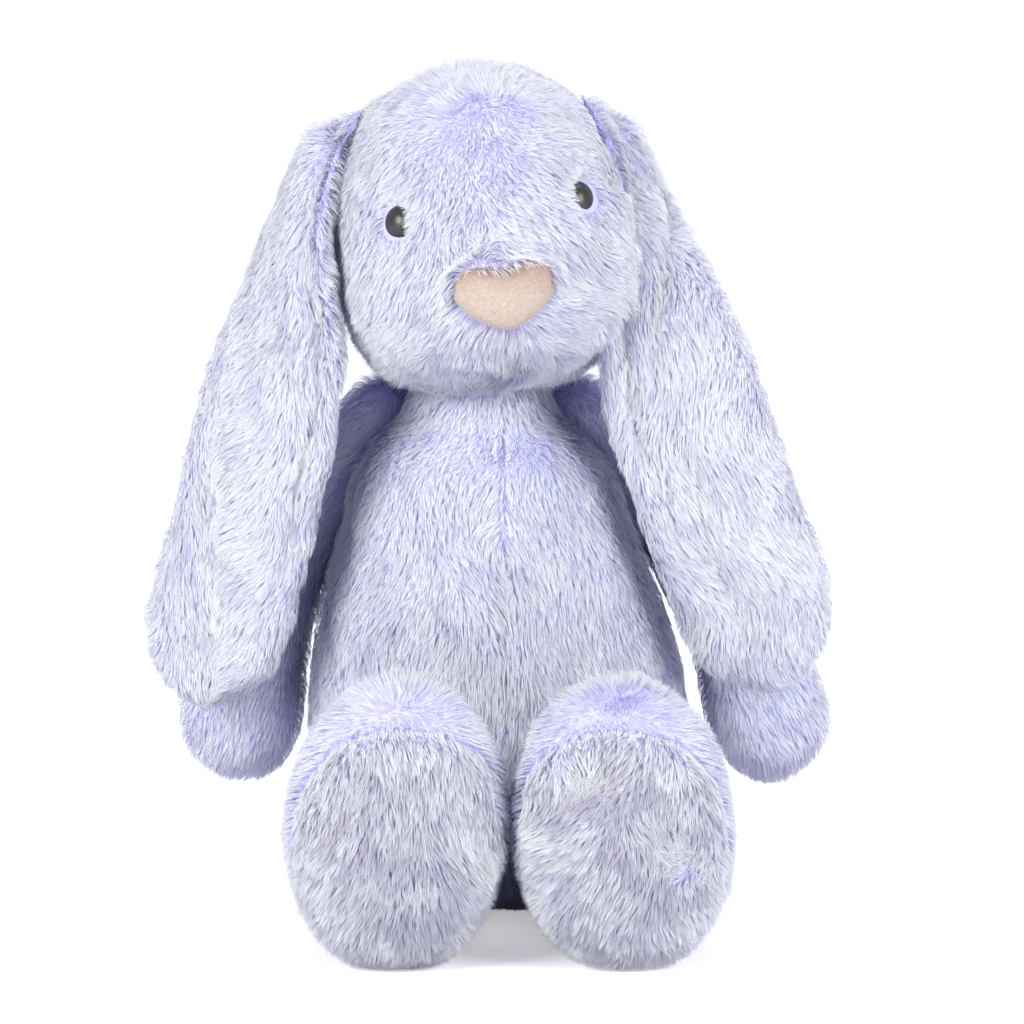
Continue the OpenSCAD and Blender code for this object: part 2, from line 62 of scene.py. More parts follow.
# %% [markdown]
# The camera comes first, because it decides which details matter. A portrait lens, far away and a
# little above the floor, keeps the big feet from looming in front of the small face.

# %% The camera
CAMERA_ELEVATION = math.radians(6)
CAMERA_DISTANCE, CAMERA_HEIGHT, CAMERA_SIDE = 2.6, 0.209, 0.0011
SENSOR_MM, LENS_MM = 36, 166.3

camera_data = bpy.data.cameras.new("camera")
camera_data.sensor_width = SENSOR_MM
camera_data.lens = LENS_MM
camera = bpy.data.objects.new("camera", camera_data)
scene.collection.objects.link(camera)
camera.rotation_euler = (math.pi / 2 - CAMERA_ELEVATION, 0, 0)
level, rise = math.cos(CAMERA_ELEVATION), math.sin(CAMERA_ELEVATION)
camera.location = (CAMERA_SIDE, -CAMERA_DISTANCE * level + CAMERA_HEIGHT * rise,
                   CAMERA_DISTANCE * rise + CAMERA_HEIGHT * level)
scene.camera = camera
scene.view_settings.view_transform = "Standard"
print("camera at", [round(c, 3) for c in camera.location])

# %% [markdown]
# A material is a small network of nodes. The helpers below keep each network short: one makes an
# empty Principled material, one adds a node and sets its values, and the others join two sockets,
# make a colour ramp, multiply two colours and raise a bump.


# %% Helpers
def new_object(name, data):
    """An object for a mesh, a lamp or a camera, linked into the scene."""
    made = bpy.data.objects.new(name, data)
    scene.collection.objects.link(made)
    return made


def new_material(name, roughness, sheen=0.0):
    """A Principled material whose uniform values sit on the shader's own sockets."""
    material = bpy.data.materials.new(name)
    material.use_nodes = True
    shader = material.node_tree.nodes["Principled BSDF"]
    shader.inputs["Roughness"].default_value = roughness
    shader.inputs["Sheen Weight"].default_value = sheen
    shader.inputs["Sheen Roughness"].default_value = 0.4
    return material, shader


def add_node(material, kind, **values):
    """Adds one node. Each value goes to the input socket of that name, or else to the node's setting."""
    node = material.node_tree.nodes.new(kind)
    for key, value in values.items():
        socket = node.inputs.get(key.replace("_", " "))
        if socket is not None:
            socket.default_value = value
        else:
            setattr(node, key, value)
    return node


def link(material, out_socket, in_socket):
    """Joins two sockets."""
    material.node_tree.links.new(out_socket, in_socket)


def ramp(material, factor, stops):
    """A colour ramp through (position, colour) stops, fed by factor."""
    node = add_node(material, "ShaderNodeValToRGB")
    elements = node.color_ramp.elements
    while len(elements) < len(stops):
        elements.new(0.5)
    for element, (position, colour) in zip(elements, stops):
        element.position = position
        element.color = (*colour, 1)
    link(material, factor, node.inputs["Fac"])
    return node.outputs["Color"]


def times(material, first, second):
    """Two colours multiplied channel by channel."""
    mix = add_node(material, "ShaderNodeMix", data_type="RGBA", blend_type="MULTIPLY")
    mix.inputs["Factor"].default_value = 1.0
    link(material, first, mix.inputs[6])
    link(material, second, mix.inputs[7])
    return mix.outputs[2]


def raise_bump(material, shader, height, strength, distance):
    """Tilts the shader's normal by a height field."""
    bump = add_node(material, "ShaderNodeBump", Strength=strength, Distance=distance)
    link(material, height, bump.inputs["Height"])
    link(material, bump.outputs["Normal"], shader.inputs["Normal"])


def on_object(material, kind, **values):
    """A texture laid on the object's own coordinates."""
    texture = add_node(material, kind, **values)
    link(material, add_node(material, "ShaderNodeTexCoord").outputs["Object"], texture.inputs["Vector"])
    return texture.outputs["Fac"]


def srgb(r, g, b):
    """The linear colour of an 8-bit sRGB one."""
    return tuple(((c / 255 + 0.055) / 1.055) ** 2.4 if c > 10 else c / 3294 for c in (r, g, b))


# %% [markdown]
# The pile's colour changes along each strand: deep and cool at the root, where strands shade one
# another and light has bounced between dyed fibres, and pale at the tip. Each strand's UV map keeps
# a tone of its own across (u) and its place from root to tip along (v).

# %% The pile's and the backing's material
PILE_ROOT = srgb(190, 185, 241)
PILE_MIDDLE = srgb(226, 228, 244)
PILE_TIP = srgb(244, 247, 249)
LET_THROUGH = 0.4
# The sole's colour factor is painted shade: it greys the soles' pile as if they caught less light.
PLAIN_SHADE, SOLE_PAINTED_SHADE, DEEP_TONE = (1.0, 1.0, 1.0), (0.78, 0.765, 0.82), (0.84, 0.82, 0.96)


def pile_material(name, shade):
    """Root-to-tip ramp times the strand's tone, from the strand's own UV map. Fibres this fine let
    part of the light through, so the shader is partly translucent."""
    material, shader = new_material(name, roughness=0.75, sheen=0.25)
    uv = add_node(material, "ShaderNodeUVMap", uv_map="OFBake")
    split = add_node(material, "ShaderNodeSeparateXYZ")
    link(material, uv.outputs["UV"], split.inputs["Vector"])
    along = ramp(material, split.outputs["Y"], [(0.0, PILE_ROOT), (0.3, PILE_MIDDLE), (0.8, PILE_TIP)])
    deep = tuple(np.array(shade) * DEEP_TONE)
    tones = ramp(material, split.outputs["X"], [(0.0, deep), (0.6, shade), (1.0, PLAIN_SHADE)])
    colour = times(material, along, tones)
    link(material, colour, shader.inputs["Base Color"])
    shader.inputs["Specular IOR Level"].default_value = 0.25
    through = add_node(material, "ShaderNodeBsdfTranslucent")
    link(material, colour, through.inputs["Color"])
    both = add_node(material, "ShaderNodeMixShader", Fac=LET_THROUGH)
    link(material, shader.outputs[0], both.inputs[1])
    link(material, through.outputs[0], both.inputs[2])
    link(material, both.outputs[0], material.node_tree.nodes["Material Output"].inputs["Surface"])
    return material


def backing_material():
    """A fine knit: waves over a soft mottle, on object coordinates. Its lavender is the knit's own, painted
    darker as the shade deep under the pile.
    """
    material, shader = new_material("knitted_backing", roughness=0.9, sheen=0.3)
    mottle = on_object(material, "ShaderNodeTexNoise", Scale=160.0, Detail=4.0)
    # Darker than the pile: the knit's colour with painted shade for its place under the strands.
    colour = ramp(material, mottle, [(0.3, srgb(186, 183, 240)), (0.7, srgb(200, 198, 243))])
    link(material, colour, shader.inputs["Base Color"])
    knit = on_object(material, "ShaderNodeTexWave", Scale=420.0, Distortion=2.0, Detail=1.0)
    raise_bump(material, shader, knit, 0.25, 0.4 * MM)
    return material


PILE = pile_material("plush_pile", PLAIN_SHADE)
# The soles' pile material carries that painted shade.
SOLE_PILE_PAINTED_SHADE = pile_material("sole_pile_painted_shade", SOLE_PAINTED_SHADE)
BACKING = backing_material()
print("materials made in", round(time.time() - started, 1), "s")

# %% [markdown]
# A cover is a bag of knitted backing, pushed out by its filling. The solids of one body are joined,
# wrapped in a fine voxel remesh, and moved inwards by the length of the pile, because the solid's
# outside is where the tips of the pile end. Moving inwards in small steps with a little smoothing
# after each keeps thin edges, such as an ear's, from folding through themselves.

# %% Skins from solids
VOXEL = 5 * MM


def waves(points, size, seed):
    """A smooth random vector field: the sum of six sine waves, about size long, in random directions."""
    rng = np.random.default_rng(seed)
    field = np.zeros((len(points), 3))
    for _ in range(6):
        k = rng.normal(size=3) * (2.2 / size)
        field += np.sin(points @ k + rng.uniform(0, 6.28))[:, None] * rng.normal(size=3)
    return field / 2.5


def mesh_arrays(mesh):
    """Vertices and triangles of a mesh as arrays."""
    v = np.empty(len(mesh.vertices) * 3, np.float32)
    mesh.vertices.foreach_get("co", v)
    mesh.calc_loop_triangles()
    t = np.empty(len(mesh.loop_triangles) * 3, np.int32)
    mesh.loop_triangles.foreach_get("vertices", t)
    return v.reshape(-1, 3).astype(float), t.reshape(-1, 3)


def islands(count, edges):
    """A label for each vertex: the lowest vertex number that its edges lead to. Labels are passed on
    along the edges until none changes."""
    label = np.arange(count)
    while True:
        low = np.minimum(label[edges[:, 0]], label[edges[:, 1]])
        new = label.copy()
        np.minimum.at(new, edges[:, 0], low)
        np.minimum.at(new, edges[:, 1], low)
        new = new[new]
        if (new == label).all():
            return label
        label = new


def mesh_edges(mesh):
    """The edges of a mesh as pairs of vertex numbers."""
    e = np.empty(len(mesh.edges) * 2, np.int32)
    mesh.edges.foreach_get("vertices", e)
    return e.reshape(-1, 2)


def joined_copy(name, node_names):
    """One mesh of several nodes' triangles, with doubles merged."""
    points, faces, start = [], [], 0
    for node_name in node_names:
        v, t = mesh_arrays(nodes[node_name].data)
        points.append(v)
        faces.append(t + start)
        start += len(v)
    points, faces = np.concatenate(points), np.concatenate(faces)
    keys, back = np.unique(np.round(points / (0.01 * MM)).astype(np.int64), axis=0, return_inverse=True)
    faces = back.reshape(-1)[faces]
    faces = faces[(faces[:, 0] != faces[:, 1]) & (faces[:, 1] != faces[:, 2]) & (faces[:, 0] != faces[:, 2])]
    mesh = bpy.data.meshes.new(name)
    mesh.from_pydata((keys * 0.01 * MM).tolist(), [], faces.tolist())
    return mesh


def voxel_wrap(name, node_names):
    """The outermost surface of the joined nodes, remeshed into even quads."""
    source = new_object(name + "_source", joined_copy(name, node_names))
    remesh = source.modifiers.new("Remesh", "REMESH")
    remesh.mode = "VOXEL"
    remesh.voxel_size = VOXEL
    bpy.context.view_layer.update()
    wrapped = bpy.data.meshes.new_from_object(source.evaluated_get(bpy.context.evaluated_depsgraph_get()))
    bpy.data.objects.remove(source)
    v, _ = mesh_arrays(wrapped)
    label = islands(len(v), mesh_edges(wrapped))
    spans = {k: np.ptp(v[label == k], axis=0).sum() for k in np.unique(label)}
    keep = label == max(spans, key=spans.get)
    new_number = np.cumsum(keep) - 1
    quads = [[int(new_number[i]) for i in p.vertices] for p in wrapped.polygons if keep[p.vertices[0]]]
    mesh = bpy.data.meshes.new(name)
    mesh.from_pydata(v[keep].tolist(), [], quads)
    mesh.update()
    bpy.data.meshes.remove(wrapped)
    return mesh


def vertex_normals(mesh):
    """Unit normals at the vertices."""
    n = np.empty(len(mesh.vertices) * 3, np.float32)
    mesh.vertex_normals.foreach_get("vector", n)
    return n.reshape(-1, 3).astype(float)


def smoothed(values, edges, passes, share=0.5):
    """Moves each value towards the mean of its neighbours' by a share, several times."""
    count = np.bincount(edges.reshape(-1), minlength=len(values))[:, None]
    for _ in range(passes):
        total = np.zeros_like(values)
        np.add.at(total, edges[:, 0], values[edges[:, 1]])
        np.add.at(total, edges[:, 1], values[edges[:, 0]])
        values = values * (1 - share) + share * total / np.maximum(count, 1)
    return values


def set_points(mesh, v):
    """Writes the vertices back."""
    mesh.vertices.foreach_set("co", v.astype(np.float32).reshape(-1))
    mesh.update()


def move_in(mesh, depth, step=1.25 * MM, floor=None):
    """Insets the surface by depth: along smoothed normals in steps, each followed by one smoothing pass."""
    edges = mesh_edges(mesh)
    v, _ = mesh_arrays(mesh)
    for _ in range(max(1, round(depth / step))):
        n = smoothed(vertex_normals(mesh), edges, 2)
        n /= np.maximum(np.linalg.norm(n, axis=1, keepdims=True), 1e-9)
        v = smoothed(v - n * step, edges, 1, 0.35)
        if floor is not None:
            v[:, 2] = np.maximum(v[:, 2], floor)
        set_points(mesh, v)


# %% [markdown]
# Cloth simulation gives each cover the slight swell and slack of sewn fabric. Pressure pushes from
# inside, gravity is off, and no point may move further than a cap, so the cover stays in its place.
# Nine skins are made this way. Each one rides on its body and stands for the covers under it.


# %% Swell the covers
def swell(skin, cap, pressure=4.0, frames=20):
    """Runs the cloth with pressure inside, then moves each point by its drift, held under the cap."""
    before, _ = mesh_arrays(skin.data)
    cloth = skin.modifiers.new("Cloth", "CLOTH")
    cloth.settings.quality = 4
    cloth.settings.use_pressure = True
    cloth.settings.uniform_pressure_force = pressure
    cloth.settings.effector_weights.gravity = 0
    cloth.point_cache.frame_start = 1
    cloth.point_cache.frame_end = frames
    for number in range(1, frames + 1):
        scene.frame_set(number)
    done = bpy.data.meshes.new_from_object(skin.evaluated_get(bpy.context.evaluated_depsgraph_get()))
    after, _ = mesh_arrays(done)
    bpy.data.meshes.remove(done)
    skin.modifiers.remove(cloth)
    scene.frame_set(1)
    drift = after - before
    size = np.linalg.norm(drift, axis=1, keepdims=True)
    drift *= np.minimum(1, cap / np.maximum(size, 1e-9))
    set_points(skin.data, before + smoothed(drift, mesh_edges(skin.data), 1))


def lumpy(skin, height=0.9 * MM, size=17 * MM, seed=3):
    """Filling is never even: low mounds, as high as a smooth random wave."""
    v, _ = mesh_arrays(skin.data)
    set_points(skin.data, v + vertex_normals(skin.data) * (height * waves(v, size, seed)[:, :1]))


def make_skin(name, body, node_names, depth, cap=3 * MM, floor=None):
    """A padded cover: wrapped, moved in, swelled, riding on its body in place of its nodes."""
    mesh = voxel_wrap(name, node_names)
    move_in(mesh, depth, floor=floor)
    skin = new_object(name, mesh)
    swell(skin, cap)
    lumpy(skin)
    mesh.polygons.foreach_set("use_smooth", [True] * len(mesh.polygons))
    mesh.materials.append(BACKING)
    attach(skin, body)
    covers = [n for n in node_names if n.endswith(("cover", "front", "back", "sole"))]
    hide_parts(*covers)
    print(name, len(mesh.vertices), "vertices", round(time.time() - started, 1), "s")
    return skin


PILE_DEPTH, EAR_PILE_DEPTH = 3.6 * MM, 1.8 * MM
FLOOR_DEPTH = 1.2 * MM
skins = {
    "torso": make_skin("torso_skin", "torso", ["torso_cover", "torso_filling"], PILE_DEPTH,
                       floor=FLOOR_DEPTH),
    "tail": make_skin("tail_skin", "torso", ["tail_cover", "tail_filling"], PILE_DEPTH),
    "head": make_skin("head_skin", "head", ["head_cover", "head_filling", "left_eye", "right_eye",
                                            "left_eye_washer", "right_eye_washer", "nose"], PILE_DEPTH),
}
for side in SIDE_SIGN:
    skins[side + "_ear"] = make_skin(side + "_ear_skin", side + "_ear",
                                     [side + "_ear_front", side + "_ear_back"], EAR_PILE_DEPTH, cap=1.5 * MM)
    skins[side + "_arm"] = make_skin(side + "_arm_skin", side + "_arm",
                                     [side + "_arm_cover", side + "_arm_filling"], PILE_DEPTH)
    skins[side + "_leg"] = make_skin(side + "_leg_skin", side + "_leg",
                                     [side + "_leg_cover", side + "_leg_filling", side + "_foot_sole"],
                                     PILE_DEPTH, floor=FLOOR_DEPTH)

# %% [markdown]
# The torso's front is sewn from two halves, so a seam runs down the chest and belly. The stitches
# pull the cover in: a narrow valley along a line, deeper in some places than in others.

# %% The seam down the front
SEAM_LOW, SEAM_HIGH, SEAM_FADE = 96 * MM, 262 * MM, 12 * MM
SEAM_DRIFT = -0.018


def off_seam(points):
    """Signed distance across the rabbit from the seam, which drifts to its right as it climbs."""
    return points[:, 0] - SEAM_DRIFT * points[:, 2]


def on_front(points, normals):
    """1 on the front of the torso between the seam's ends, fading to 0 beyond them."""
    height = points[:, 2]
    ends = np.clip((height - SEAM_LOW) / SEAM_FADE, 0, 1) * np.clip((SEAM_HIGH - height) / SEAM_FADE, 0, 1)
    return ends * (normals[:, 1] < -0.1)


def press(skin, depth, share):
    """Moves the skin in along its normals by depth times share(points, normals)."""
    v, _ = mesh_arrays(skin.data)
    n = vertex_normals(skin.data)
    set_points(skin.data, v - n * (depth * share(v, n))[:, None])


def seam_share(v, n, width=3.5 * MM):
    """A bell over the distance from the seam, with stitches that pull unevenly."""
    stitches = 0.7 + 0.5 * waves(v, 22 * MM, 5)[:, 0]
    return np.exp(-(off_seam(v) / width) ** 2) * on_front(v, n) * np.clip(stitches, 0.2, 1.2)


press(skins["torso"], 2.4 * MM, seam_share)
print("seam pressed from", SEAM_LOW, "to", SEAM_HIGH, "m high")

# %% [markdown]
# Fur could be hair curves, but a model that leaves this program keeps only meshes, so each strand is
# a thin ribbon of one quad and one triangle that narrows to a point. Real pile is not even: strands
# stick together in wisps, wisps lean together in tufts, and the whole lies the way it was combed.
# Wisps and tufts need random numbers that belong to a place, so that all strands near it share them.


# %% Random fields
def hashed(cells, seed, salt):
    """A repeatable random number from 0 to 1 for each whole-number cell: its three numbers times large
    primes, mixed bit by bit."""
    c = cells.astype(np.int64)
    h = (c[:, 0] * 73856093) ^ (c[:, 1] * 19349663) ^ (c[:, 2] * 83492791)
    h = h ^ (seed * 2654435761 + salt * 40503)
    h = (h ^ (h >> 13)) * 1274126177
    h = h ^ (h >> 16)
    return (h & 0xFFFFFF) / float(0x1000000)


def nearest_tuft(points, size, seed):
    """Each point's nearest tuft centre, one centre being scattered in each cubic cell, and its cell."""
    base = np.floor(points / size).astype(np.int64)
    best = np.full(len(points), np.inf)
    centre = np.zeros_like(points)
    cell = base.copy()
    for step in np.ndindex(3, 3, 3):
        c = base + np.array(step) - 1
        place = (c + np.stack([hashed(c, seed, k) for k in range(3)], axis=1)) * size
        d = ((points - place) ** 2).sum(axis=1)
        near = d < best
        best[near] = d[near]
        centre[near] = place[near]
        cell[near] = c[near]
    return centre, cell


def tuft_vector(cell, seed):
    """A random vector, -1 to 1 each way, that belongs to a tuft."""
    return np.stack([hashed(cell, seed, k) for k in range(3, 6)], axis=1) * 2 - 1


def unit(v):
    """Vectors scaled to a length of one."""
    return v / np.maximum(np.linalg.norm(v, axis=1, keepdims=True), 1e-9)


print("a tuft's numbers:", hashed(np.array([[1, 2, 3]]), 0, 0).round(3), "always the same")

# %% [markdown]
# All strands of a piece are computed at once: a root on the skin, a direction, then three levels of
# points along a bend. The ribbon's face is turned away from the skin, and its shading normal stays
# close to the skin's, so that the fur is lit like one soft surface.


# %% Scatter and grow
def scatter(skin, density, rng, where=None):
    """Random points on the skin's triangles, a number of them to each square metre, with smooth normals."""
    v, t = mesh_arrays(skin.data)
    n = vertex_normals(skin.data)
    a, b, c = v[t[:, 0]], v[t[:, 1]], v[t[:, 2]]
    area = np.linalg.norm(np.cross(b - a, c - a), axis=1) / 2
    if where is not None:
        area = area * where((a + b + c) / 3, unit(n[t].mean(axis=1)))
    total = np.cumsum(area)
    count = int(total[-1] * density)
    pick = np.searchsorted(total, (np.arange(count) + rng.random(count)) / count * total[-1])
    pick = np.minimum(pick, len(t) - 1)
    r1, r2 = np.sqrt(rng.random((count, 1))), rng.random((count, 1))
    w = np.hstack([1 - r1, r1 * (1 - r2), r1 * r2])
    points = (v[t[pick]] * w[:, :, None]).sum(axis=1)
    normals = unit((n[t[pick]] * w[:, :, None]).sum(axis=1))
    return points, normals


STRAND, STRAND_HALF_WIDTH, ROOT_DEPTH = 9 * MM, 0.235 * MM, 0.6 * MM
STRANDS_PER_M2 = 1.0e6
TUFT, WISP = 13 * MM, 2.4 * MM
FLOOR_CLEAR = 0.4 * MM
LOWEST_TONE, HIGHEST_TONE = 0.02, 0.98


def across(vectors, normals):
    """What is left of the vectors after their part along the normals is taken away."""
    return vectors - (vectors * normals).sum(axis=1, keepdims=True) * normals


def grow(name, body, skin, comb, where=None, keep=None, length=STRAND, density=1.0, material=PILE, seed=1,
         wild=0.24, painted_shade_change=None, raised=None, trimmed=None):
    """Ribbons on a skin. Tip = root + length * (lift * normal + lean * combed way), and then a little
    towards its wisp's middle. Lift and lean are the sides of a right triangle with a long side of 1."""
    rng = np.random.default_rng(seed)
    p, n = scatter(skin, STRANDS_PER_M2 * density, rng, where)
    if keep is not None:
        kept = keep(p, n)
        p, n = p[kept], n[kept]
    count = len(p)
    _, tuft_cell = nearest_tuft(p, TUFT, seed)
    wisp_centre, wisp_cell = nearest_tuft(p, WISP, seed + 1)
    tuft_way, wisp_way = tuft_vector(tuft_cell, seed), tuft_vector(wisp_cell, seed + 1)
    own_way = rng.normal(size=(count, 3)) * 0.6
    combed = across(comb(p, n), n)
    strength = np.minimum(np.linalg.norm(combed, axis=1, keepdims=True), 1)
    stray = 0.45 * tuft_way + 1.2 * waves(p, 34 * MM, seed) + 0.4 * wisp_way + 0.35 * own_way
    d = unit(across(combed + wild * stray, n))
    lean = np.clip(0.38 + 0.56 * strength + 0.04 * wisp_way[:, :1] + 0.03 * own_way[:, :1], 0.3, 0.95)
    lift = np.sqrt(1 - lean ** 2)
    size = length * (0.86 + 0.16 * rng.random((count, 1)) + 0.14 * tuft_way[:, 1:2] + 0.08 * wisp_way[:, 1:2])
    size = np.minimum(size, length * 1.15)
    if trimmed is not None:
        size = size * trimmed(p)[:, None]
    to_wisp = across(wisp_centre - p, n)
    to_wisp *= np.minimum(1, WISP / np.maximum(np.linalg.norm(to_wisp, axis=1, keepdims=True), 1e-9))
    early = lean * 0.8
    root = p - n * ROOT_DEPTH
    middle = p + size * 0.5 * (np.sqrt(1 - early ** 2) * n + early * d) + 0.06 * to_wisp
    tip = p + size * (lift * n + lean * d) + 0.2 * to_wisp
    if raised is not None:
        lift_up = n * raised(p)[:, None]
        for level in (root, middle, tip):
            level += lift_up
    for level in (root, middle, tip):
        level[:, 2] = np.maximum(level[:, 2], FLOOR_CLEAR)
    side_way = unit(np.cross(n, d))
    roll = rng.uniform(-0.7, 0.7, (count, 1))
    wide = unit(side_way * np.cos(roll) + n * np.sin(roll)) * STRAND_HALF_WIDTH
    points = np.stack([root - wide, root + wide, middle + wide * 0.8, middle - wide * 0.8, tip], axis=1)
    facing = unit(np.cross(wide, tip - root))
    flip = (facing * n).sum(axis=1) < 0
    points[flip] = points[flip][:, [1, 0, 3, 2, 4]]
    facing[flip] *= -1
    shade_n = unit(n + 0.12 * across(tuft_way, n) + 0.13 * across(wisp_way, n) + 0.08 * own_way)
    against = (shade_n * facing).sum(axis=1, keepdims=True)
    shade_n = unit(shade_n + facing * np.maximum(0, 0.08 - against))
    tone = 0.55 + 0.2 * tuft_way[:, 2] + 0.25 * wisp_way[:, 2] + 0.35 * (rng.random(count) - 0.5)
    tone = np.clip(tone, LOWEST_TONE, HIGHEST_TONE)
    # A tone change that paints shade onto some strands: darker on the arms under the ears, paler where a
    # sole's painted shade fades at its rim.
    if painted_shade_change is not None:
        tone = np.clip(tone + painted_shade_change(p), LOWEST_TONE, HIGHEST_TONE)
    ribbons(name, body, points, shade_n, tone, material)


def ribbons(name, body, points, normals, tone, material):
    """Puts the strands' five points each into a mesh of one quad and one triangle a strand."""
    count = len(points)
    mesh = bpy.data.meshes.new(name)
    mesh.vertices.add(count * 5)
    mesh.vertices.foreach_set("co", points.astype(np.float32).reshape(-1))
    first = np.arange(count, dtype=np.int32)[:, None] * 5
    mesh.loops.add(count * 7)
    mesh.loops.foreach_set("vertex_index", (first + np.array([0, 1, 2, 3, 3, 2, 4], np.int32)).reshape(-1))
    mesh.polygons.add(count * 2)
    starts = (np.arange(count, dtype=np.int32)[:, None] * 7 + np.array([0, 4], np.int32)).reshape(-1)
    mesh.polygons.foreach_set("loop_start", starts)
    mesh.update(calc_edges=True)
    u = tone[:, None] + np.array([-1, 1, 1, -1, -1, 1, 0]) * 0.008
    w = np.broadcast_to(np.array([0.02, 0.02, 0.5, 0.5, 0.5, 0.5, 0.98]), (count, 7))
    layer = mesh.uv_layers.new(name="OFBake")
    layer.data.foreach_set("uv", np.stack([u, w], axis=2).astype(np.float32).reshape(-1))
    mesh.polygons.foreach_set("use_smooth", [True] * len(mesh.polygons))
    mesh.normals_split_custom_set_from_vertices(np.repeat(normals, 5, axis=0).tolist())
    mesh.materials.append(material)
    piece = new_object(name, mesh)
    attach(piece, body)
    print(name, count, "strands", round(time.time() - started, 1), "s")


# %% [markdown]
# Every part is combed its own way. The torso's pile runs down and turns aside at the seam. A comb is
# a function of the points and the normals, and so is the rule for where a piece of fur grows.

# %% Fur on the torso and the tail
def constant(x, y, z):
    """A comb that runs the same way everywhere."""
    return lambda p, n: np.broadcast_to(np.array([x, y, z], float), p.shape)


def torso_comb(p, n):
    """Down, and away from the seam by a bell over the distance from it."""
    side = off_seam(p)
    uneven = np.clip(waves(p, 30 * MM, 6)[:, 0] + 0.6, 0, 1)
    part = np.sign(side) * np.exp(-(side / (6 * MM)) ** 2) * on_front(p, n) * 0.22 * uneven
    way = np.zeros_like(p)
    way[:, 0] = part + 0.25 * np.clip(side / (80 * MM), -1, 1)
    way[:, 2] = -0.9
    return way


def facing_front(p, n):
    """True where the surface looks forwards."""
    return n[:, 1] < 0


def facing_back(p, n):
    """True where it looks backwards."""
    return n[:, 1] >= 0


def front_half(sign):
    """The front of the torso on one side of the seam."""
    return lambda p, n: (n[:, 1] < 0) & (off_seam(p) * sign >= 0)


grow("torso_fur_front_left", "torso", skins["torso"], torso_comb, front_half(1), density=1.15, seed=11)
grow("torso_fur_front_right", "torso", skins["torso"], torso_comb, front_half(-1), density=1.15, seed=14)
grow("torso_fur_back", "torso", skins["torso"], torso_comb, facing_back, density=0.6, seed=12)
grow("tail_fur", "torso", skins["tail"], constant(0, 0.8, -0.5), seed=13)

# %% [markdown]
# The head is tilted and turned a little, so it has axes of its own. They place the nose's outline and
# the clear round at each eye, where no strand grows.

# %% The head's axes, the nose's outline and the eyes
HEAD_ROLL, HEAD_TURN, NOSE_LEAN = math.radians(7.5), math.radians(5), math.radians(8)


def turn_x(a):
    """The matrix that turns by an angle about the x axis."""
    return np.array([[1, 0, 0], [0, math.cos(a), -math.sin(a)], [0, math.sin(a), math.cos(a)]])


def turn_y(a):
    """The same about the y axis."""
    return np.array([[math.cos(a), 0, math.sin(a)], [0, 1, 0], [-math.sin(a), 0, math.cos(a)]])


def turn_z(a):
    """The same about the z axis."""
    return np.array([[math.cos(a), -math.sin(a), 0], [math.sin(a), math.cos(a), 0], [0, 0, 1]])


HEAD_AXES = turn_y(-HEAD_ROLL) @ turn_z(HEAD_TURN)
NOSE_AXES = HEAD_AXES @ turn_x(math.pi / 2 - NOSE_LEAN)


def middle_of(node):
    """The middle of a node's box."""
    low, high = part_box(node)
    return (np.array(low) + np.array(high)) / 2


nose_middle = middle_of("nose") + NOSE_AXES @ np.array([0, 0.5 * MM, 0.6 * MM])
eye_middles = {side: middle_of(side + "_eye") for side in SIDE_SIGN}
washer_middles = {side: middle_of(side + "_eye_washer") for side in SIDE_SIGN}
eye_ways = {side: unit((eye_middles[side] - washer_middles[side])[None])[0] for side in SIDE_SIGN}
hinges = {joint["child"]: np.array(joint["pos_m"]) for joint in frame["joints"] if "ear" in joint["child"]}
NOSE_HALF_WIDTH, NOSE_ABOVE, NOSE_BELOW = 26.5 * MM, 15 * MM, 20 * MM
EYE_CLEAR, EYE_SHIFT, EYE_FRINGE = 8.2 * MM, 1.6 * MM, 4.5 * MM
ROOT_FUR, ROOT_REACH = 13 * MM, 7 * MM
BEHIND_NOSE, BEHIND_EYE = -40 * MM, -30 * MM


def outward_of(side):
    """The head's sideways axis, pointing away from its middle."""
    return HEAD_AXES[:, 0] * SIDE_SIGN[side]


def nose_radius(angle):
    """The outline of the nose round its middle, as a superellipse |x/a|^k + |y/b|^k = 1: nearly square
    above (k = 4), nearly pointed below (k = 1.45), with a shallow notch at the middle of the top."""
    x, y = np.abs(np.cos(angle)), np.sin(angle)
    above = ((x / NOSE_HALF_WIDTH) ** 4 + (np.maximum(y, 0) / NOSE_ABOVE) ** 4) ** (-1 / 4)
    below = ((x / NOSE_HALF_WIDTH) ** 1.45 + (np.maximum(-y, 0) / NOSE_BELOW) ** 1.45) ** (-1 / 1.45)
    notch = 0.09 * np.exp(-(x / 0.35) ** 2) * (y > 0)
    return np.where(y > 0, above, below) * (1 - notch)


def head_keep(p, n):
    """False where the nose or an eye covers the skin."""
    local = (p - nose_middle) @ NOSE_AXES
    r = np.hypot(local[:, 0], local[:, 1])
    spare = np.where(local[:, 1] > 4 * MM, 5 * MM, 2.5 * MM)
    under_nose = (r < nose_radius(np.arctan2(local[:, 1], local[:, 0])) - spare) & (local[:, 2] > BEHIND_NOSE)
    keep = ~under_nose
    for side, middle in eye_middles.items():
        d = p - middle - EYE_SHIFT * outward_of(side)
        along = d @ eye_ways[side]
        inward = -(p - middle) @ outward_of(side) > EYE_FRINGE
        clear = np.linalg.norm(d - along[:, None] * eye_ways[side], axis=1) > EYE_CLEAR
        keep &= clear | inward | (along < BEHIND_EYE)
    return keep


print("nose at", nose_middle.round(4), "eyes at", [middle.round(4) for middle in eye_middles.values()])

# %% [markdown]
# A face is combed and trimmed with care. The pile runs back over the crown and down the face, fans
# out under the nose, stands in tufts at the chin and goes round the eyes, where it is cut shorter.
# Along the nose's upper edge, the eyes and the ears' roots the strands start higher and lie over the
# edge, and round the ears' hinges they stand up. The washers pull the eyes in, so each sits in a dent.


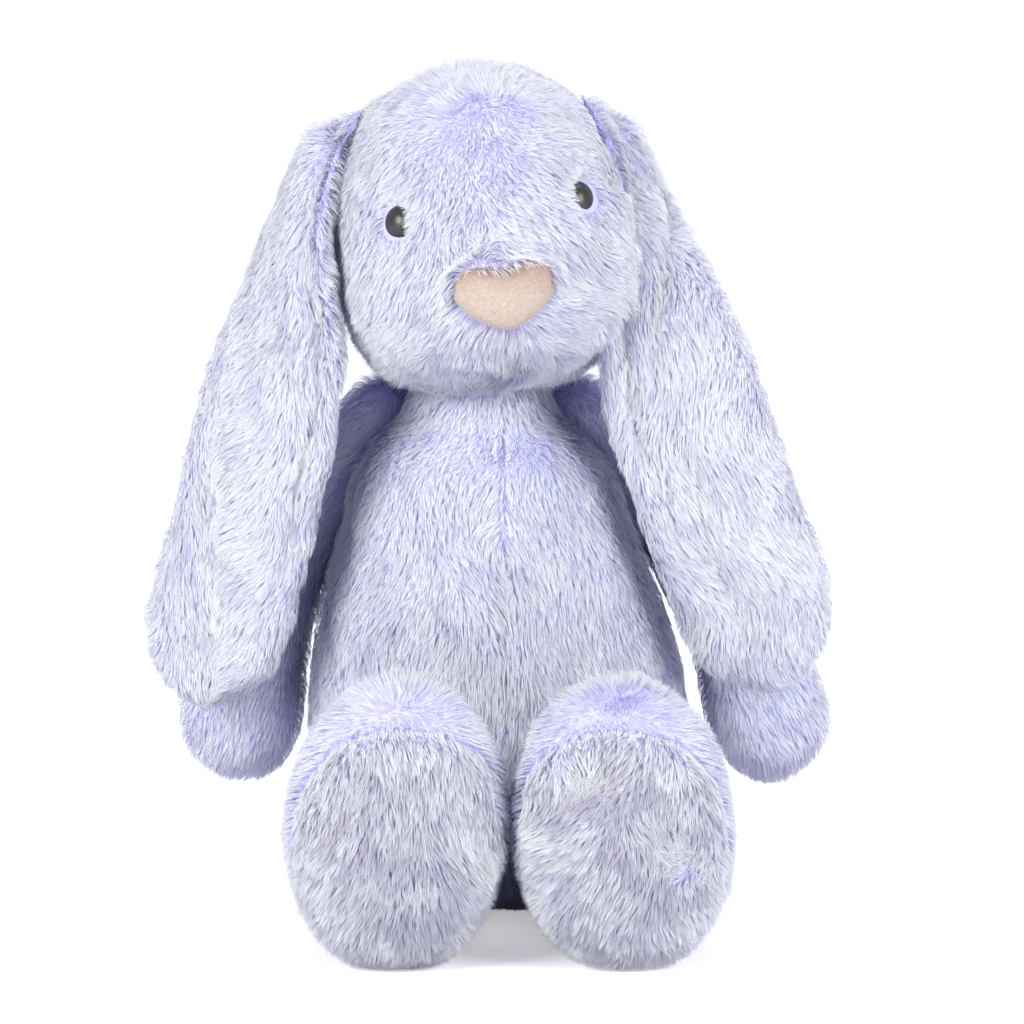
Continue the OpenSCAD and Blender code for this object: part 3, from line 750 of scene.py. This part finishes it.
# %% Fur on the head
def ear_inner_edge(ear, sign, points):
    """The x of the ear's inner edge at each point's height, from the skin in slices 10 mm high."""
    v, _ = mesh_arrays(skins[ear].data)
    levels = np.arange(v[:, 2].min() + 5 * MM, v[:, 2].max() - 5 * MM, 10 * MM)
    edge = [(v[np.abs(v[:, 2] - level) < 6 * MM, 0] * sign).min() for level in levels]
    return sign * np.interp(points[:, 2], levels, edge)


def over_edges(p):
    """How much higher strands start along the nose's upper edge, the eyes' inner edges and the ears'
    roots: a bell over the distance from each edge."""
    local = (p - nose_middle) @ NOSE_AXES
    angle = np.arctan2(local[:, 1], local[:, 0])
    off = np.hypot(local[:, 0], local[:, 1]) - nose_radius(angle)
    upper_edge = (local[:, 1] > 4 * MM) * (local[:, 2] > BEHIND_NOSE)
    lift = 4.5 * MM * np.exp(-((off + 2 * MM) / (5 * MM)) ** 2) * upper_edge
    for side, middle in eye_middles.items():
        beside = -(p - middle) @ outward_of(side)
        near = np.exp(-(((p - middle) @ HEAD_AXES[:, 2]) / (8 * MM)) ** 2)
        lift = lift + 2 * MM * near * np.exp(-((beside - 7 * MM) / (3 * MM)) ** 2)
    for ear, sign in (("left_ear", 1), ("right_ear", -1)):
        beside = (p[:, 0] - ear_inner_edge(ear, sign, p)) * sign
        high = np.clip((p[:, 2] - 0.31) / (40 * MM), 0, 1) * (p[:, 1] < nose_middle[1] + 75 * MM)
        lift = lift + 1.5 * MM * high * np.exp(-((beside - 1 * MM) / (7 * MM)) ** 2)
    return lift


def on_crown(n):
    """From 0 on the sides of the head to 1 on its top, from how far the surface faces up."""
    return np.clip((n[:, 2:] - 0.3) / 0.6, 0, 1)


def trimmed_round_eyes(p):
    """The share of its length that each strand keeps: 1, less a bell round each eye."""
    share = np.ones(len(p))
    for middle in eye_middles.values():
        share -= 0.55 * np.exp(-(np.linalg.norm(p - middle, axis=1) / (13 * MM)) ** 4)
    return share


def head_comb(p, n):
    """Back over the crown, down the face and outwards, away below the nose, round the eyes, and a
    little outwards at the ears' hinges."""
    local = (p - nose_middle) @ HEAD_AXES
    away = unit(local * np.array([1, 0, 1]))
    below = np.clip((4 * MM - local[:, 2]) / (14 * MM), 0, 1)
    near = (np.exp(-(np.hypot(local[:, 0], local[:, 2]) / (45 * MM)) ** 2) * below)[:, None] * (n[:, 1:2] < 0)
    down = np.zeros_like(p)
    down[:, 0] = 0.6 * np.clip(local[:, 0] / (62 * MM), -1, 1)
    down[:, 1] = 0.9 * on_crown(n)[:, 0]
    down[:, 2] = -0.78
    chin = np.clip((-local[:, 2] - 18 * MM) / (20 * MM), 0, 1)[:, None]
    down = down * (1 - 0.45 * chin) + 0.6 * chin * waves(p, 13 * MM, 23)
    combed = (away * near + down * (1 - near)) @ HEAD_AXES.T
    flat = np.linalg.norm(across(combed, n), axis=1, keepdims=True)
    combed = combed + 0.7 * np.exp(-(flat / 0.4) ** 2) * waves(p, 11 * MM, 24)
    for side, middle in eye_middles.items():
        outward = outward_of(side)
        beside = -(p - middle) @ outward
        inner = np.clip(beside / (5 * MM), 0, 1)[:, None]
        near_eye = np.exp(-(np.linalg.norm(p - middle, axis=1) / (14 * MM)) ** 4)[:, None]
        around = unit(across(p - middle, n)) * (1 - inner) + outward * inner
        combed = combed * (1 - near_eye) + around * near_eye
        near_hinge = np.exp(-(np.linalg.norm(p - hinges[side + "_ear"], axis=1) / ROOT_FUR) ** 4)[:, None]
        combed = combed * (1 - near_hinge) + 0.3 * outward * near_hinge
    return combed


def press_eyes(skin, depth=3 * MM, width=12 * MM):
    """The eyes are pulled in by their washers: a bell-shaped dent round each."""
    v, _ = mesh_arrays(skin.data)
    n = vertex_normals(skin.data)
    for middle in eye_middles.values():
        bell = np.exp(-(np.linalg.norm(v - middle, axis=1) / width) ** 2)
        v = v - n * (depth * bell)[:, None]
    set_points(skin.data, v)


press_eyes(skins["head"])
grow("head_fur_face", "head", skins["head"], head_comb, facing_front, head_keep, density=1.4, seed=21,
     raised=over_edges, trimmed=trimmed_round_eyes)
grow("head_fur_back", "head", skins["head"], head_comb, facing_back, head_keep, density=0.85, seed=22)

# %% [markdown]
# The sole of a foot is a panel of its own whose pile runs down, painted slightly greyer: painted shade for
# soles that catch less light. A seam joins it to the leg, whose pile is fluffed up round the panel's edge.

# %% Combs for the feet
SOLE_ACROSS, SOLE_UP, SOLE_LOW, SOLE_INWARD = 52 * MM, 65 * MM, -1.5 * MM, 4 * MM


def sole_radius(side):
    """How far a point is from the middle of the sole's panel, 1 being the panel's edge: an oval in x
    and z that sits low on the foot and a little inwards."""
    low, high = (np.array(corner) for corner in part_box(side + "_foot_sole"))
    middle = (low + high) / 2
    inward = -SOLE_INWARD * SIDE_SIGN[side]

    def radius(p):
        x = (p[:, 0] - middle[0] - inward) / SOLE_ACROSS
        z = (p[:, 2] - middle[2] + SOLE_LOW) / SOLE_UP
        return (np.abs(x) ** 2.3 + np.abs(z) ** 2.3) ** (1 / 2.3), x, z
    return radius


def on_sole(side, inside):
    """True inside the panel's edge on the front of the foot, or True everywhere else."""
    radius = sole_radius(side)

    def part(p, n):
        ragged = 0.03 * waves(p, 9 * MM, 71)[:, 0]
        panel = (radius(p)[0] + ragged < 1) & (n[:, 1] < -0.35)
        return panel if inside else ~panel
    return part


def fading_sole_painted_shade(side):
    """The sole's painted shade fades: its pile turns paler from halfway out to the panel's edge."""
    radius = sole_radius(side)
    return lambda p: 0.5 * np.clip((radius(p)[0] - 0.5) / 0.5, 0, 1)


def sole_share_for(side, width=3 * MM):
    """The panel's seam: a groove along its edge, deeper over the toes."""
    def share(v, n):
        r, _, z = sole_radius(side)(v)
        toes = 0.5 + 0.5 * np.clip(z * 1.5, 0, 1)
        return np.exp(-((r - 1) * SOLE_UP / width) ** 2) * (n[:, 1] < -0.3) * toes
    return share


def sole_comb_for(side):
    """Down, and outwards from the middle of the sole."""
    radius = sole_radius(side)

    def comb(p, n):
        way = np.zeros_like(p)
        way[:, 0] = np.clip(radius(p)[1], -1, 1) * 0.45
        way[:, 2] = -0.85
        return way
    return comb


def leg_comb_for(side):
    """Down the sides of the leg, and fluffed up round the sole's panel, away from its middle."""
    radius = sole_radius(side)

    def comb(p, n):
        rim = np.clip((-p[:, 1] - 165 * MM) / (25 * MM), 0, 1)
        way = np.zeros_like(p)
        way[:, 0] = np.clip(radius(p)[1], -1, 1) * (0.3 + 0.3 * rim)
        way[:, 1] = 0.3 * rim
        way[:, 2] = -0.75 * (1 - rim) - 0.5 * rim
        return way
    return comb


for side in SIDE_SIGN:
    press(skins[side + "_leg"], 2 * MM, sole_share_for(side))
print("soles", 2 * SOLE_ACROSS, "m wide and", 2 * SOLE_UP, "m high")

# %% [markdown]
# A hanging ear is a flat bag, so it folds: a crease runs down beside its inner edge, and the corner at
# its root is tucked back. The root itself reaches up to the hinge, because a point on the hinge stays
# where it is when the ear lifts. The ear's pile runs down, and out over both edges.


# %% Folds and combs of the ears
def press_ear(ear, sign, inset, low, depth=6.5 * MM, width=4.5 * MM):
    """A crease where the ear folds: a valley along its inner edge, inset from it, that fades out at
    the height low. Its line wanders by a slow sine wave."""
    def share(v, n):
        line = ear_inner_edge(ear, sign, v) + sign * (inset + 1.5 * MM * np.sin(v[:, 2] / (17 * MM)))
        fade = np.clip((v[:, 2] - low) / (40 * MM), 0, 1) * (n[:, 1] < -0.2)
        return np.exp(-((v[:, 0] - line) / width) ** 2) * fade
    press(skins[ear], depth, share)


def tuck_root(ear, sign):
    """The top inner corner of the ear is tucked back and down a little, by a bell round it."""
    v, _ = mesh_arrays(skins[ear].data)
    top = v[:, 2].max()
    corner = np.array([ear_inner_edge(ear, sign, np.array([[0, 0, top - 12 * MM]]))[0], 0, top - 6 * MM])
    away = (v - corner) * np.array([1, 0, 1])
    bell = np.exp(-(np.linalg.norm(away, axis=1) / (17 * MM)) ** 2)[:, None]
    set_points(skins[ear].data, v + bell * np.array([0, 4 * MM, -4 * MM]))


def reach_hinge(ear):
    """The root is drawn to its hinge, so that a lifted ear stays on the head: each point moves by 0.9
    times its way to the hinge times a bell over how much further away it is than the nearest one."""
    v, _ = mesh_arrays(skins[ear].data)
    away = v - hinges[ear]
    distance = np.linalg.norm(away, axis=1)
    bell = np.exp(-((distance - distance.min()) / ROOT_REACH) ** 2)
    print(ear, "root was", round(distance.min(), 4), "m from its hinge")
    set_points(skins[ear].data, v - 0.9 * away * bell[:, None])


press_ear("right_ear", -1, 11 * MM, 0.16)
press_ear("left_ear", 1, 14 * MM, 0.2)
press_ear("left_ear", 1, 32 * MM, 0.14, depth=4 * MM, width=5 * MM)
tuck_root("right_ear", -1)
tuck_root("left_ear", 1)
for ear in hinges:
    reach_hinge(ear)


def ear_comb_for(ear, sign):
    """Down the ear and a little outwards, more outwards at its root, and inwards over its inner edge."""
    top = mesh_arrays(skins[ear].data)[0][:, 2].max()

    def comb(p, n):
        root = np.exp(-((top - p[:, 2]) / (16 * MM)) ** 2)[:, None]
        inner = np.exp(-((p[:, 0] - ear_inner_edge(ear, sign, p)) / (9 * MM)) ** 2)
        inner = (inner * np.clip((p[:, 2] - top + 150 * MM) / (40 * MM), 0, 1)
                 * np.clip((top - p[:, 2] - 14 * MM) / (12 * MM), 0, 1))[:, None]
        way = np.array([sign * 0.3, 0, -0.95]) * (1 - root) + np.array([sign * 0.7, 0, -0.4]) * root
        return way * (1 - inner) + np.array([-sign * 0.5, -0.2, -0.75]) * inner
    return comb


print("ears' inner edges", {ear: round(ear_inner_edge(ear, sign, np.array([[0, 0, 0.25]]))[0], 4)
                            for ear, sign in (("left_ear", 1), ("right_ear", -1))})

# %% [markdown]
# Ears, arms and legs are combed along their length, so the fur shows which way each part was sewn.
# Under the ears the arms' pile is painted darker and more violet: painted shade for the shadow the ears cast
# on it.


# %% Fur on the ears, arms and legs
def painted_shade_above(low):
    """Painted shade under the ears: a strand's tone change, from 0 at a height to -0.4 at 40 mm above it."""
    return lambda p: -0.4 * np.clip((p[:, 2] - low) / (40 * MM), 0, 1)


for number, (side, sign) in enumerate(SIDE_SIGN.items()):
    seed = 31 + 10 * number
    ear, arm, leg = side + "_ear", side + "_arm", side + "_leg"
    grow(ear + "_fur_front", ear, skins[ear], ear_comb_for(ear, sign), facing_front, density=1.5, seed=seed,
         wild=0.34)
    grow(ear + "_fur_back", ear, skins[ear], ear_comb_for(ear, sign), facing_back, density=0.8, seed=seed + 1)
    # The arms' pile gets painted shade, darker above 0.14 m where the ears hang over it.
    grow(arm + "_fur", arm, skins[arm], constant(sign * 0.45, 0, -0.8), density=0.85, seed=seed + 2,
         painted_shade_change=painted_shade_above(0.14))
    grow(leg + "_fur", leg, skins[leg], leg_comb_for(side), on_sole(side, False), density=0.76, seed=seed + 3)
    # Sole pile with painted shade, fading out towards the panel's edge.
    grow(side + "_sole_fur", leg, skins[leg], sole_comb_for(side), on_sole(side, True), density=1.8,
         material=SOLE_PILE_PAINTED_SHADE, seed=seed + 4, wild=0.34, painted_shade_change=fading_sole_painted_shade(side))

# %% [markdown]
# The nose is a small cushion of suede: a rounded triangle, fullest in the middle and tucked in at its
# edge. It is one surface in polar coordinates: the outline gives the radius at each angle, and the
# height falls from the middle to the edge like a flattened quarter ellipse, with a dip at the top and
# a fine crease at the point.

# %% The nose
NOSE_ROWS, NOSE_TURNS = 28, 96
NOSE_THICK = 12.5 * MM
EDGE_LOW, EDGE_HIGH, RAGGED, EDGE_TONE = 5 * MM, 17 * MM, 12 * MM, (0.84, 0.72, 0.70)


def nose_surface(s, angle):
    """s runs from the front's middle (0) over the rim (1) to the back's middle (2)."""
    reach = np.where(s <= 1, np.sin(s * math.pi / 2) ** 0.85, np.sin(s * math.pi / 2))
    radius = nose_radius(angle) * reach
    front = np.maximum(1 - reach ** 2.6, 0) ** 0.5
    dome = np.where(s <= 1, front, -0.45 * np.cos((s - 1.5) * math.pi) * (s > 1))
    x, y = radius * np.cos(angle), radius * np.sin(angle)
    height = NOSE_THICK * 0.62 * dome
    dip = 1.6 * MM * np.exp(-(x / (7 * MM)) ** 2) * np.clip((y + 2 * MM) / (14 * MM), 0, 1) * (s <= 1)
    tuck = 0.9 * MM * np.exp(-(x / (1.2 * MM)) ** 2) * np.clip((-y - 9 * MM) / (6 * MM), 0, 1) * (s <= 1)
    return x, y, height - dip - tuck


def grid_faces(rows, turns):
    """Quads between rings of points, closed round."""
    i, j = np.meshgrid(np.arange(rows - 1), np.arange(turns), indexing="ij")
    k = (j + 1) % turns
    corners = [i * turns + j, (i + 1) * turns + j, (i + 1) * turns + k, i * turns + k]
    return np.stack(corners, axis=-1).reshape(-1, 4)


def closed_rings(name, rings, first_pole, last_pole, turns):
    """A smooth closed surface: rings of points one after another, with a fan of triangles to a pole at
    each end."""
    points = np.concatenate([rings, [first_pole, last_pole]])
    rows = len(rings) // turns
    first, final, last = len(rings), len(rings) + 1, (rows - 1) * turns
    faces = grid_faces(rows, turns).tolist()
    faces += [[first, j, (j + 1) % turns] for j in range(turns)]
    faces += [[final, last + (j + 1) % turns, last + j] for j in range(turns)]
    mesh = bpy.data.meshes.new(name)
    mesh.from_pydata(points.tolist(), [], faces)
    mesh.polygons.foreach_set("use_smooth", [True] * len(mesh.polygons))
    mesh.update()
    return new_object(name, mesh)


def make_nose():
    """Rings of the surface between two poles, turned to the nose's own axes."""
    s = np.linspace(0, 2, NOSE_ROWS + 2)[1:-1]
    angle = np.linspace(0, 2 * math.pi, NOSE_TURNS, endpoint=False)
    x, y, z = nose_surface(*np.meshgrid(s, angle, indexing="ij"))
    ring = np.stack([x, y, z], axis=-1).reshape(-1, 3) @ NOSE_AXES.T + nose_middle
    poles = np.array([[0, 0, z[0].mean()], [0, 0, z[-1].mean()]]) @ NOSE_AXES.T + nose_middle
    return closed_rings("suede_nose", ring, poles[0], poles[1], NOSE_TURNS)


def suede_material():
    """Peach suede: a fine nap of two noises, darker and pinker towards the upper edge."""
    material, shader = new_material("suede", roughness=0.85, sheen=0.35)
    fine = on_object(material, "ShaderNodeTexNoise", Scale=900.0, Detail=3.0)
    broad = on_object(material, "ShaderNodeTexNoise", Scale=90.0, Detail=4.0)
    nap = ramp(material, fine, [(0.3, srgb(160, 145, 137)), (0.7, srgb(180, 166, 158))])
    place = add_node(material, "ShaderNodeTexCoord")
    split = add_node(material, "ShaderNodeSeparateXYZ")
    link(material, place.outputs["Object"], split.inputs["Vector"])
    ragged = add_node(material, "ShaderNodeMath", operation="MULTIPLY_ADD")
    ragged.inputs[1].default_value = RAGGED
    link(material, broad, ragged.inputs[0])
    link(material, split.outputs["Z"], ragged.inputs[2])
    height = add_node(material, "ShaderNodeMapRange", From_Min=float(nose_middle[2] + EDGE_LOW),
                      From_Max=float(nose_middle[2] + EDGE_HIGH))
    link(material, ragged.outputs[0], height.inputs["Value"])
    edge = ramp(material, height.outputs["Result"], [(0.0, (1, 1, 1)), (1.0, EDGE_TONE)])
    link(material, times(material, nap, edge), shader.inputs["Base Color"])
    raise_bump(material, shader, fine, 0.35, 0.3 * MM)
    return material


nose = make_nose()
nose.data.materials.append(suede_material())
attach(nose, "head")
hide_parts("nose")
print("nose", len(nose.data.vertices), "vertices")

# %% [markdown]
# The eyes are domes of black plastic on a shank with a lock washer behind the cover. The washer pulls
# them into the pile, so each dome is a lathed shape that sits deeper than its solid: a quarter ellipse
# for the front and a flat back. It is a little wider than its solid and turned outwards, so that fur
# covers its inner rim only. The fillings, bags and washers inside get plain materials.

# %% The eyes, the washers and what is inside
def plain(name, dark, light, roughness):
    """One even stuff: a faint cloud between two close colours."""
    material, shader = new_material(name, roughness)
    cloud = on_object(material, "ShaderNodeTexNoise", Scale=220.0, Detail=2.0)
    link(material, ramp(material, cloud, [(0.3, dark), (0.7, light)]), shader.inputs["Base Color"])
    return material


def finish_node(node, material):
    """Gives a node its material in place of the plain one."""
    data = nodes[node].data
    if data.materials:
        for slot_number in range(len(data.materials)):
            data.materials[slot_number] = material
    else:
        data.materials.append(material)


BLACK = plain("eye_black", (0.004, 0.004, 0.005), (0.010, 0.010, 0.013), 0.32)
CLEAR = plain("washer_plastic", (0.70, 0.70, 0.68), (0.78, 0.78, 0.76), 0.4)
FIBRE = plain("fibre_filling", (0.78, 0.77, 0.74), (0.92, 0.91, 0.88), 0.95)
BAG = plain("pellet_cloth", (0.52, 0.50, 0.45), (0.64, 0.62, 0.56), 0.9)
EYE_RADIUS, EYE_DOME, EYE_BACK, EYE_SUNK = 10.6 * MM, 8.4 * MM, -1.2 * MM, 3.2 * MM
EYE_OUTWARD, EYE_DOWN = 2 * MM, 1.6 * MM
TURNED_OUTWARD, TURNED_DOWN = 0.4, 0.12


def lathe(name, profile, axis, place, turns=48):
    """Points (radius, height) turned about an axis through a place, closed at both ends by poles."""
    side_way = unit(np.cross(axis, [0, 0, 1.0])[None])[0]
    up_way = np.cross(axis, side_way)
    angle = np.linspace(0, 2 * math.pi, turns, endpoint=False)
    ring = np.cos(angle)[:, None] * side_way + np.sin(angle)[:, None] * up_way
    rings = np.concatenate([ring * r + axis * h for r, h in profile[1:-1]]) + place
    return closed_rings(name, rings, axis * profile[0][1] + place, axis * profile[-1][1] + place, turns)


def make_eye(side):
    """The front is a quarter ellipse from the pole to the rim, and the back closes flat. The dome is
    turned outwards, so that its inner rim goes under the fur."""
    t = np.linspace(0, math.pi / 2, 14)
    profile = list(zip(EYE_RADIUS * np.sin(t), EYE_DOME * np.cos(t)))
    profile += [(EYE_RADIUS * 0.96, EYE_BACK), (0, EYE_BACK)]
    outward, up = outward_of(side), HEAD_AXES[:, 2]
    turned = unit((eye_ways[side] + TURNED_OUTWARD * outward - TURNED_DOWN * up)[None])[0]
    place = eye_middles[side] - eye_ways[side] * EYE_SUNK + outward * EYE_OUTWARD - up * EYE_DOWN
    eye = lathe(side + "_eye_dome", profile, turned, place)
    eye.data.materials.append(BLACK)
    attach(eye, "head")
    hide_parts(side + "_eye")


for side in SIDE_SIGN:
    make_eye(side)
for node in nodes:
    if node.endswith("washer"):
        finish_node(node, CLEAR)
    elif node.endswith("filling"):
        finish_node(node, FIBRE)
    elif node.endswith("bag"):
        finish_node(node, BAG)
print("eyes", 2 * EYE_RADIUS, "m wide")

# %% [markdown]
# The studio: a pale floor that glows just enough towards the lens to read as white but keeps the
# contact shadow. A soft key lamp stands at the upper left, a weaker fill at the right, one lamp hangs
# above and one stands behind, and an even violet sky tints the shadows.


# %% Floor, sky and lamps
GLOW_NEAR, GLOW_FAR = 0.45, 1.0
PAPER_COLOUR, LAMP_COLOUR = (0.78, 0.78, 0.93, 1), (1.0, 1.0, 0.85)
SKY_COLOUR, SKY_STRENGTH = (0.48, 0.45, 1.0, 1), 0.2
FLOOR_REACH = 30.0


def seen_by_lens(tree):
    """factor = (Is Camera, Glossy or Transmission Ray) - Is Diffuse Ray: 1 for what the lens sees
    itself or in a shiny surface, 0 for light on its way through the pile."""
    path = tree.nodes.new("ShaderNodeLightPath")
    factor = path.outputs["Is Camera Ray"]
    for ray in ("Is Glossy Ray", "Is Transmission Ray"):
        either = tree.nodes.new("ShaderNodeMath")
        either.operation = "MAXIMUM"
        tree.links.new(factor, either.inputs[0])
        tree.links.new(path.outputs[ray], either.inputs[1])
        factor = either.outputs[0]
    less = tree.nodes.new("ShaderNodeMath")
    less.operation = "SUBTRACT"
    less.use_clamp = True
    tree.links.new(factor, less.inputs[0])
    tree.links.new(path.outputs["Is Diffuse Ray"], less.inputs[1])
    return less.outputs[0]


def floor_material():
    """Diffuse paper that takes the shadow, plus a glow for the lens that grows with distance."""
    material = bpy.data.materials.new("studio_floor")
    material.use_nodes = True
    tree = material.node_tree
    tree.nodes.remove(tree.nodes["Principled BSDF"])
    out = tree.nodes["Material Output"]
    place = add_node(material, "ShaderNodeTexCoord")
    distance = add_node(material, "ShaderNodeVectorMath", operation="LENGTH")
    link(material, place.outputs["Object"], distance.inputs[0])
    glow = add_node(material, "ShaderNodeMapRange", From_Min=0.2, From_Max=0.9,
                    To_Min=GLOW_NEAR, To_Max=GLOW_FAR)
    link(material, distance.outputs["Value"], glow.inputs["Value"])
    strength = add_node(material, "ShaderNodeMath", operation="MULTIPLY")
    link(material, glow.outputs["Result"], strength.inputs[0])
    link(material, seen_by_lens(tree), strength.inputs[1])
    paper = add_node(material, "ShaderNodeBsdfDiffuse", Color=PAPER_COLOUR)
    light = add_node(material, "ShaderNodeEmission")
    link(material, strength.outputs[0], light.inputs["Strength"])
    both = add_node(material, "ShaderNodeAddShader")
    link(material, paper.outputs[0], both.inputs[0])
    link(material, light.outputs[0], both.inputs[1])
    link(material, both.outputs[0], out.inputs["Surface"])
    return material


floor_mesh = bpy.data.meshes.new("floor")
corners = [(x * FLOOR_REACH, y * FLOOR_REACH, 0) for x, y in ((-1, -1), (1, -1), (1, 1), (-1, 1))]
floor_mesh.from_pydata(corners, [], [(0, 1, 2, 3)])
floor_mesh.materials.append(floor_material())
new_object("floor", floor_mesh)


def make_sky():
    """White for the lens, and an even soft light for everything else."""
    world = bpy.data.worlds.new("studio")
    scene.world = world
    world.use_nodes = True
    tree = world.node_tree
    background = tree.nodes["Background"]
    background.inputs["Color"].default_value = SKY_COLOUR
    background.inputs["Strength"].default_value = SKY_STRENGTH
    white = tree.nodes.new("ShaderNodeBackground")
    white.inputs["Color"].default_value = (1, 1, 1, 1)
    mix = tree.nodes.new("ShaderNodeMixShader")
    tree.links.new(seen_by_lens(tree), mix.inputs["Fac"])
    tree.links.new(background.outputs[0], mix.inputs[1])
    tree.links.new(white.outputs[0], mix.inputs[2])
    tree.links.new(mix.outputs[0], tree.nodes["World Output"].inputs["Surface"])


def soft_light(name, place, target, size, power, colour=(1, 1, 1)):
    """A square soft box at a place, turned to a target."""
    data = bpy.data.lights.new(name, "AREA")
    data.shape = "SQUARE"
    data.size = size
    data.energy = power
    data.color = colour
    lamp = new_object(name, data)
    lamp.location = place
    away = np.array(place) - np.array(target)
    flat = math.hypot(away[0], away[1])
    lamp.rotation_euler = (math.atan2(flat, away[2]), 0, math.atan2(away[0], -away[1]))


make_sky()
AIM = (0, 0, 0.22)
soft_light("key", (-1.5, -1.5, 0.95), AIM, 1.2, 59, LAMP_COLOUR)
soft_light("fill", (1.5, -1.4, 0.9), AIM, 1.2, 46, LAMP_COLOUR)
soft_light("top", (0.1, 0.2, 1.9), AIM, 1.2, 15)
soft_light("back", (0.5, 2.1, 1.1), AIM, 1.4, 30, LAMP_COLOUR)
print("studio set", round(time.time() - started, 1), "s")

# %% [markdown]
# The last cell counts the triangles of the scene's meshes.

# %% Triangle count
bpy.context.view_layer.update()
meshes = [o.data for o in scene.objects if o.type == "MESH"]
print("triangles", sum(len(p.vertices) - 2 for mesh in meshes for p in mesh.polygons))
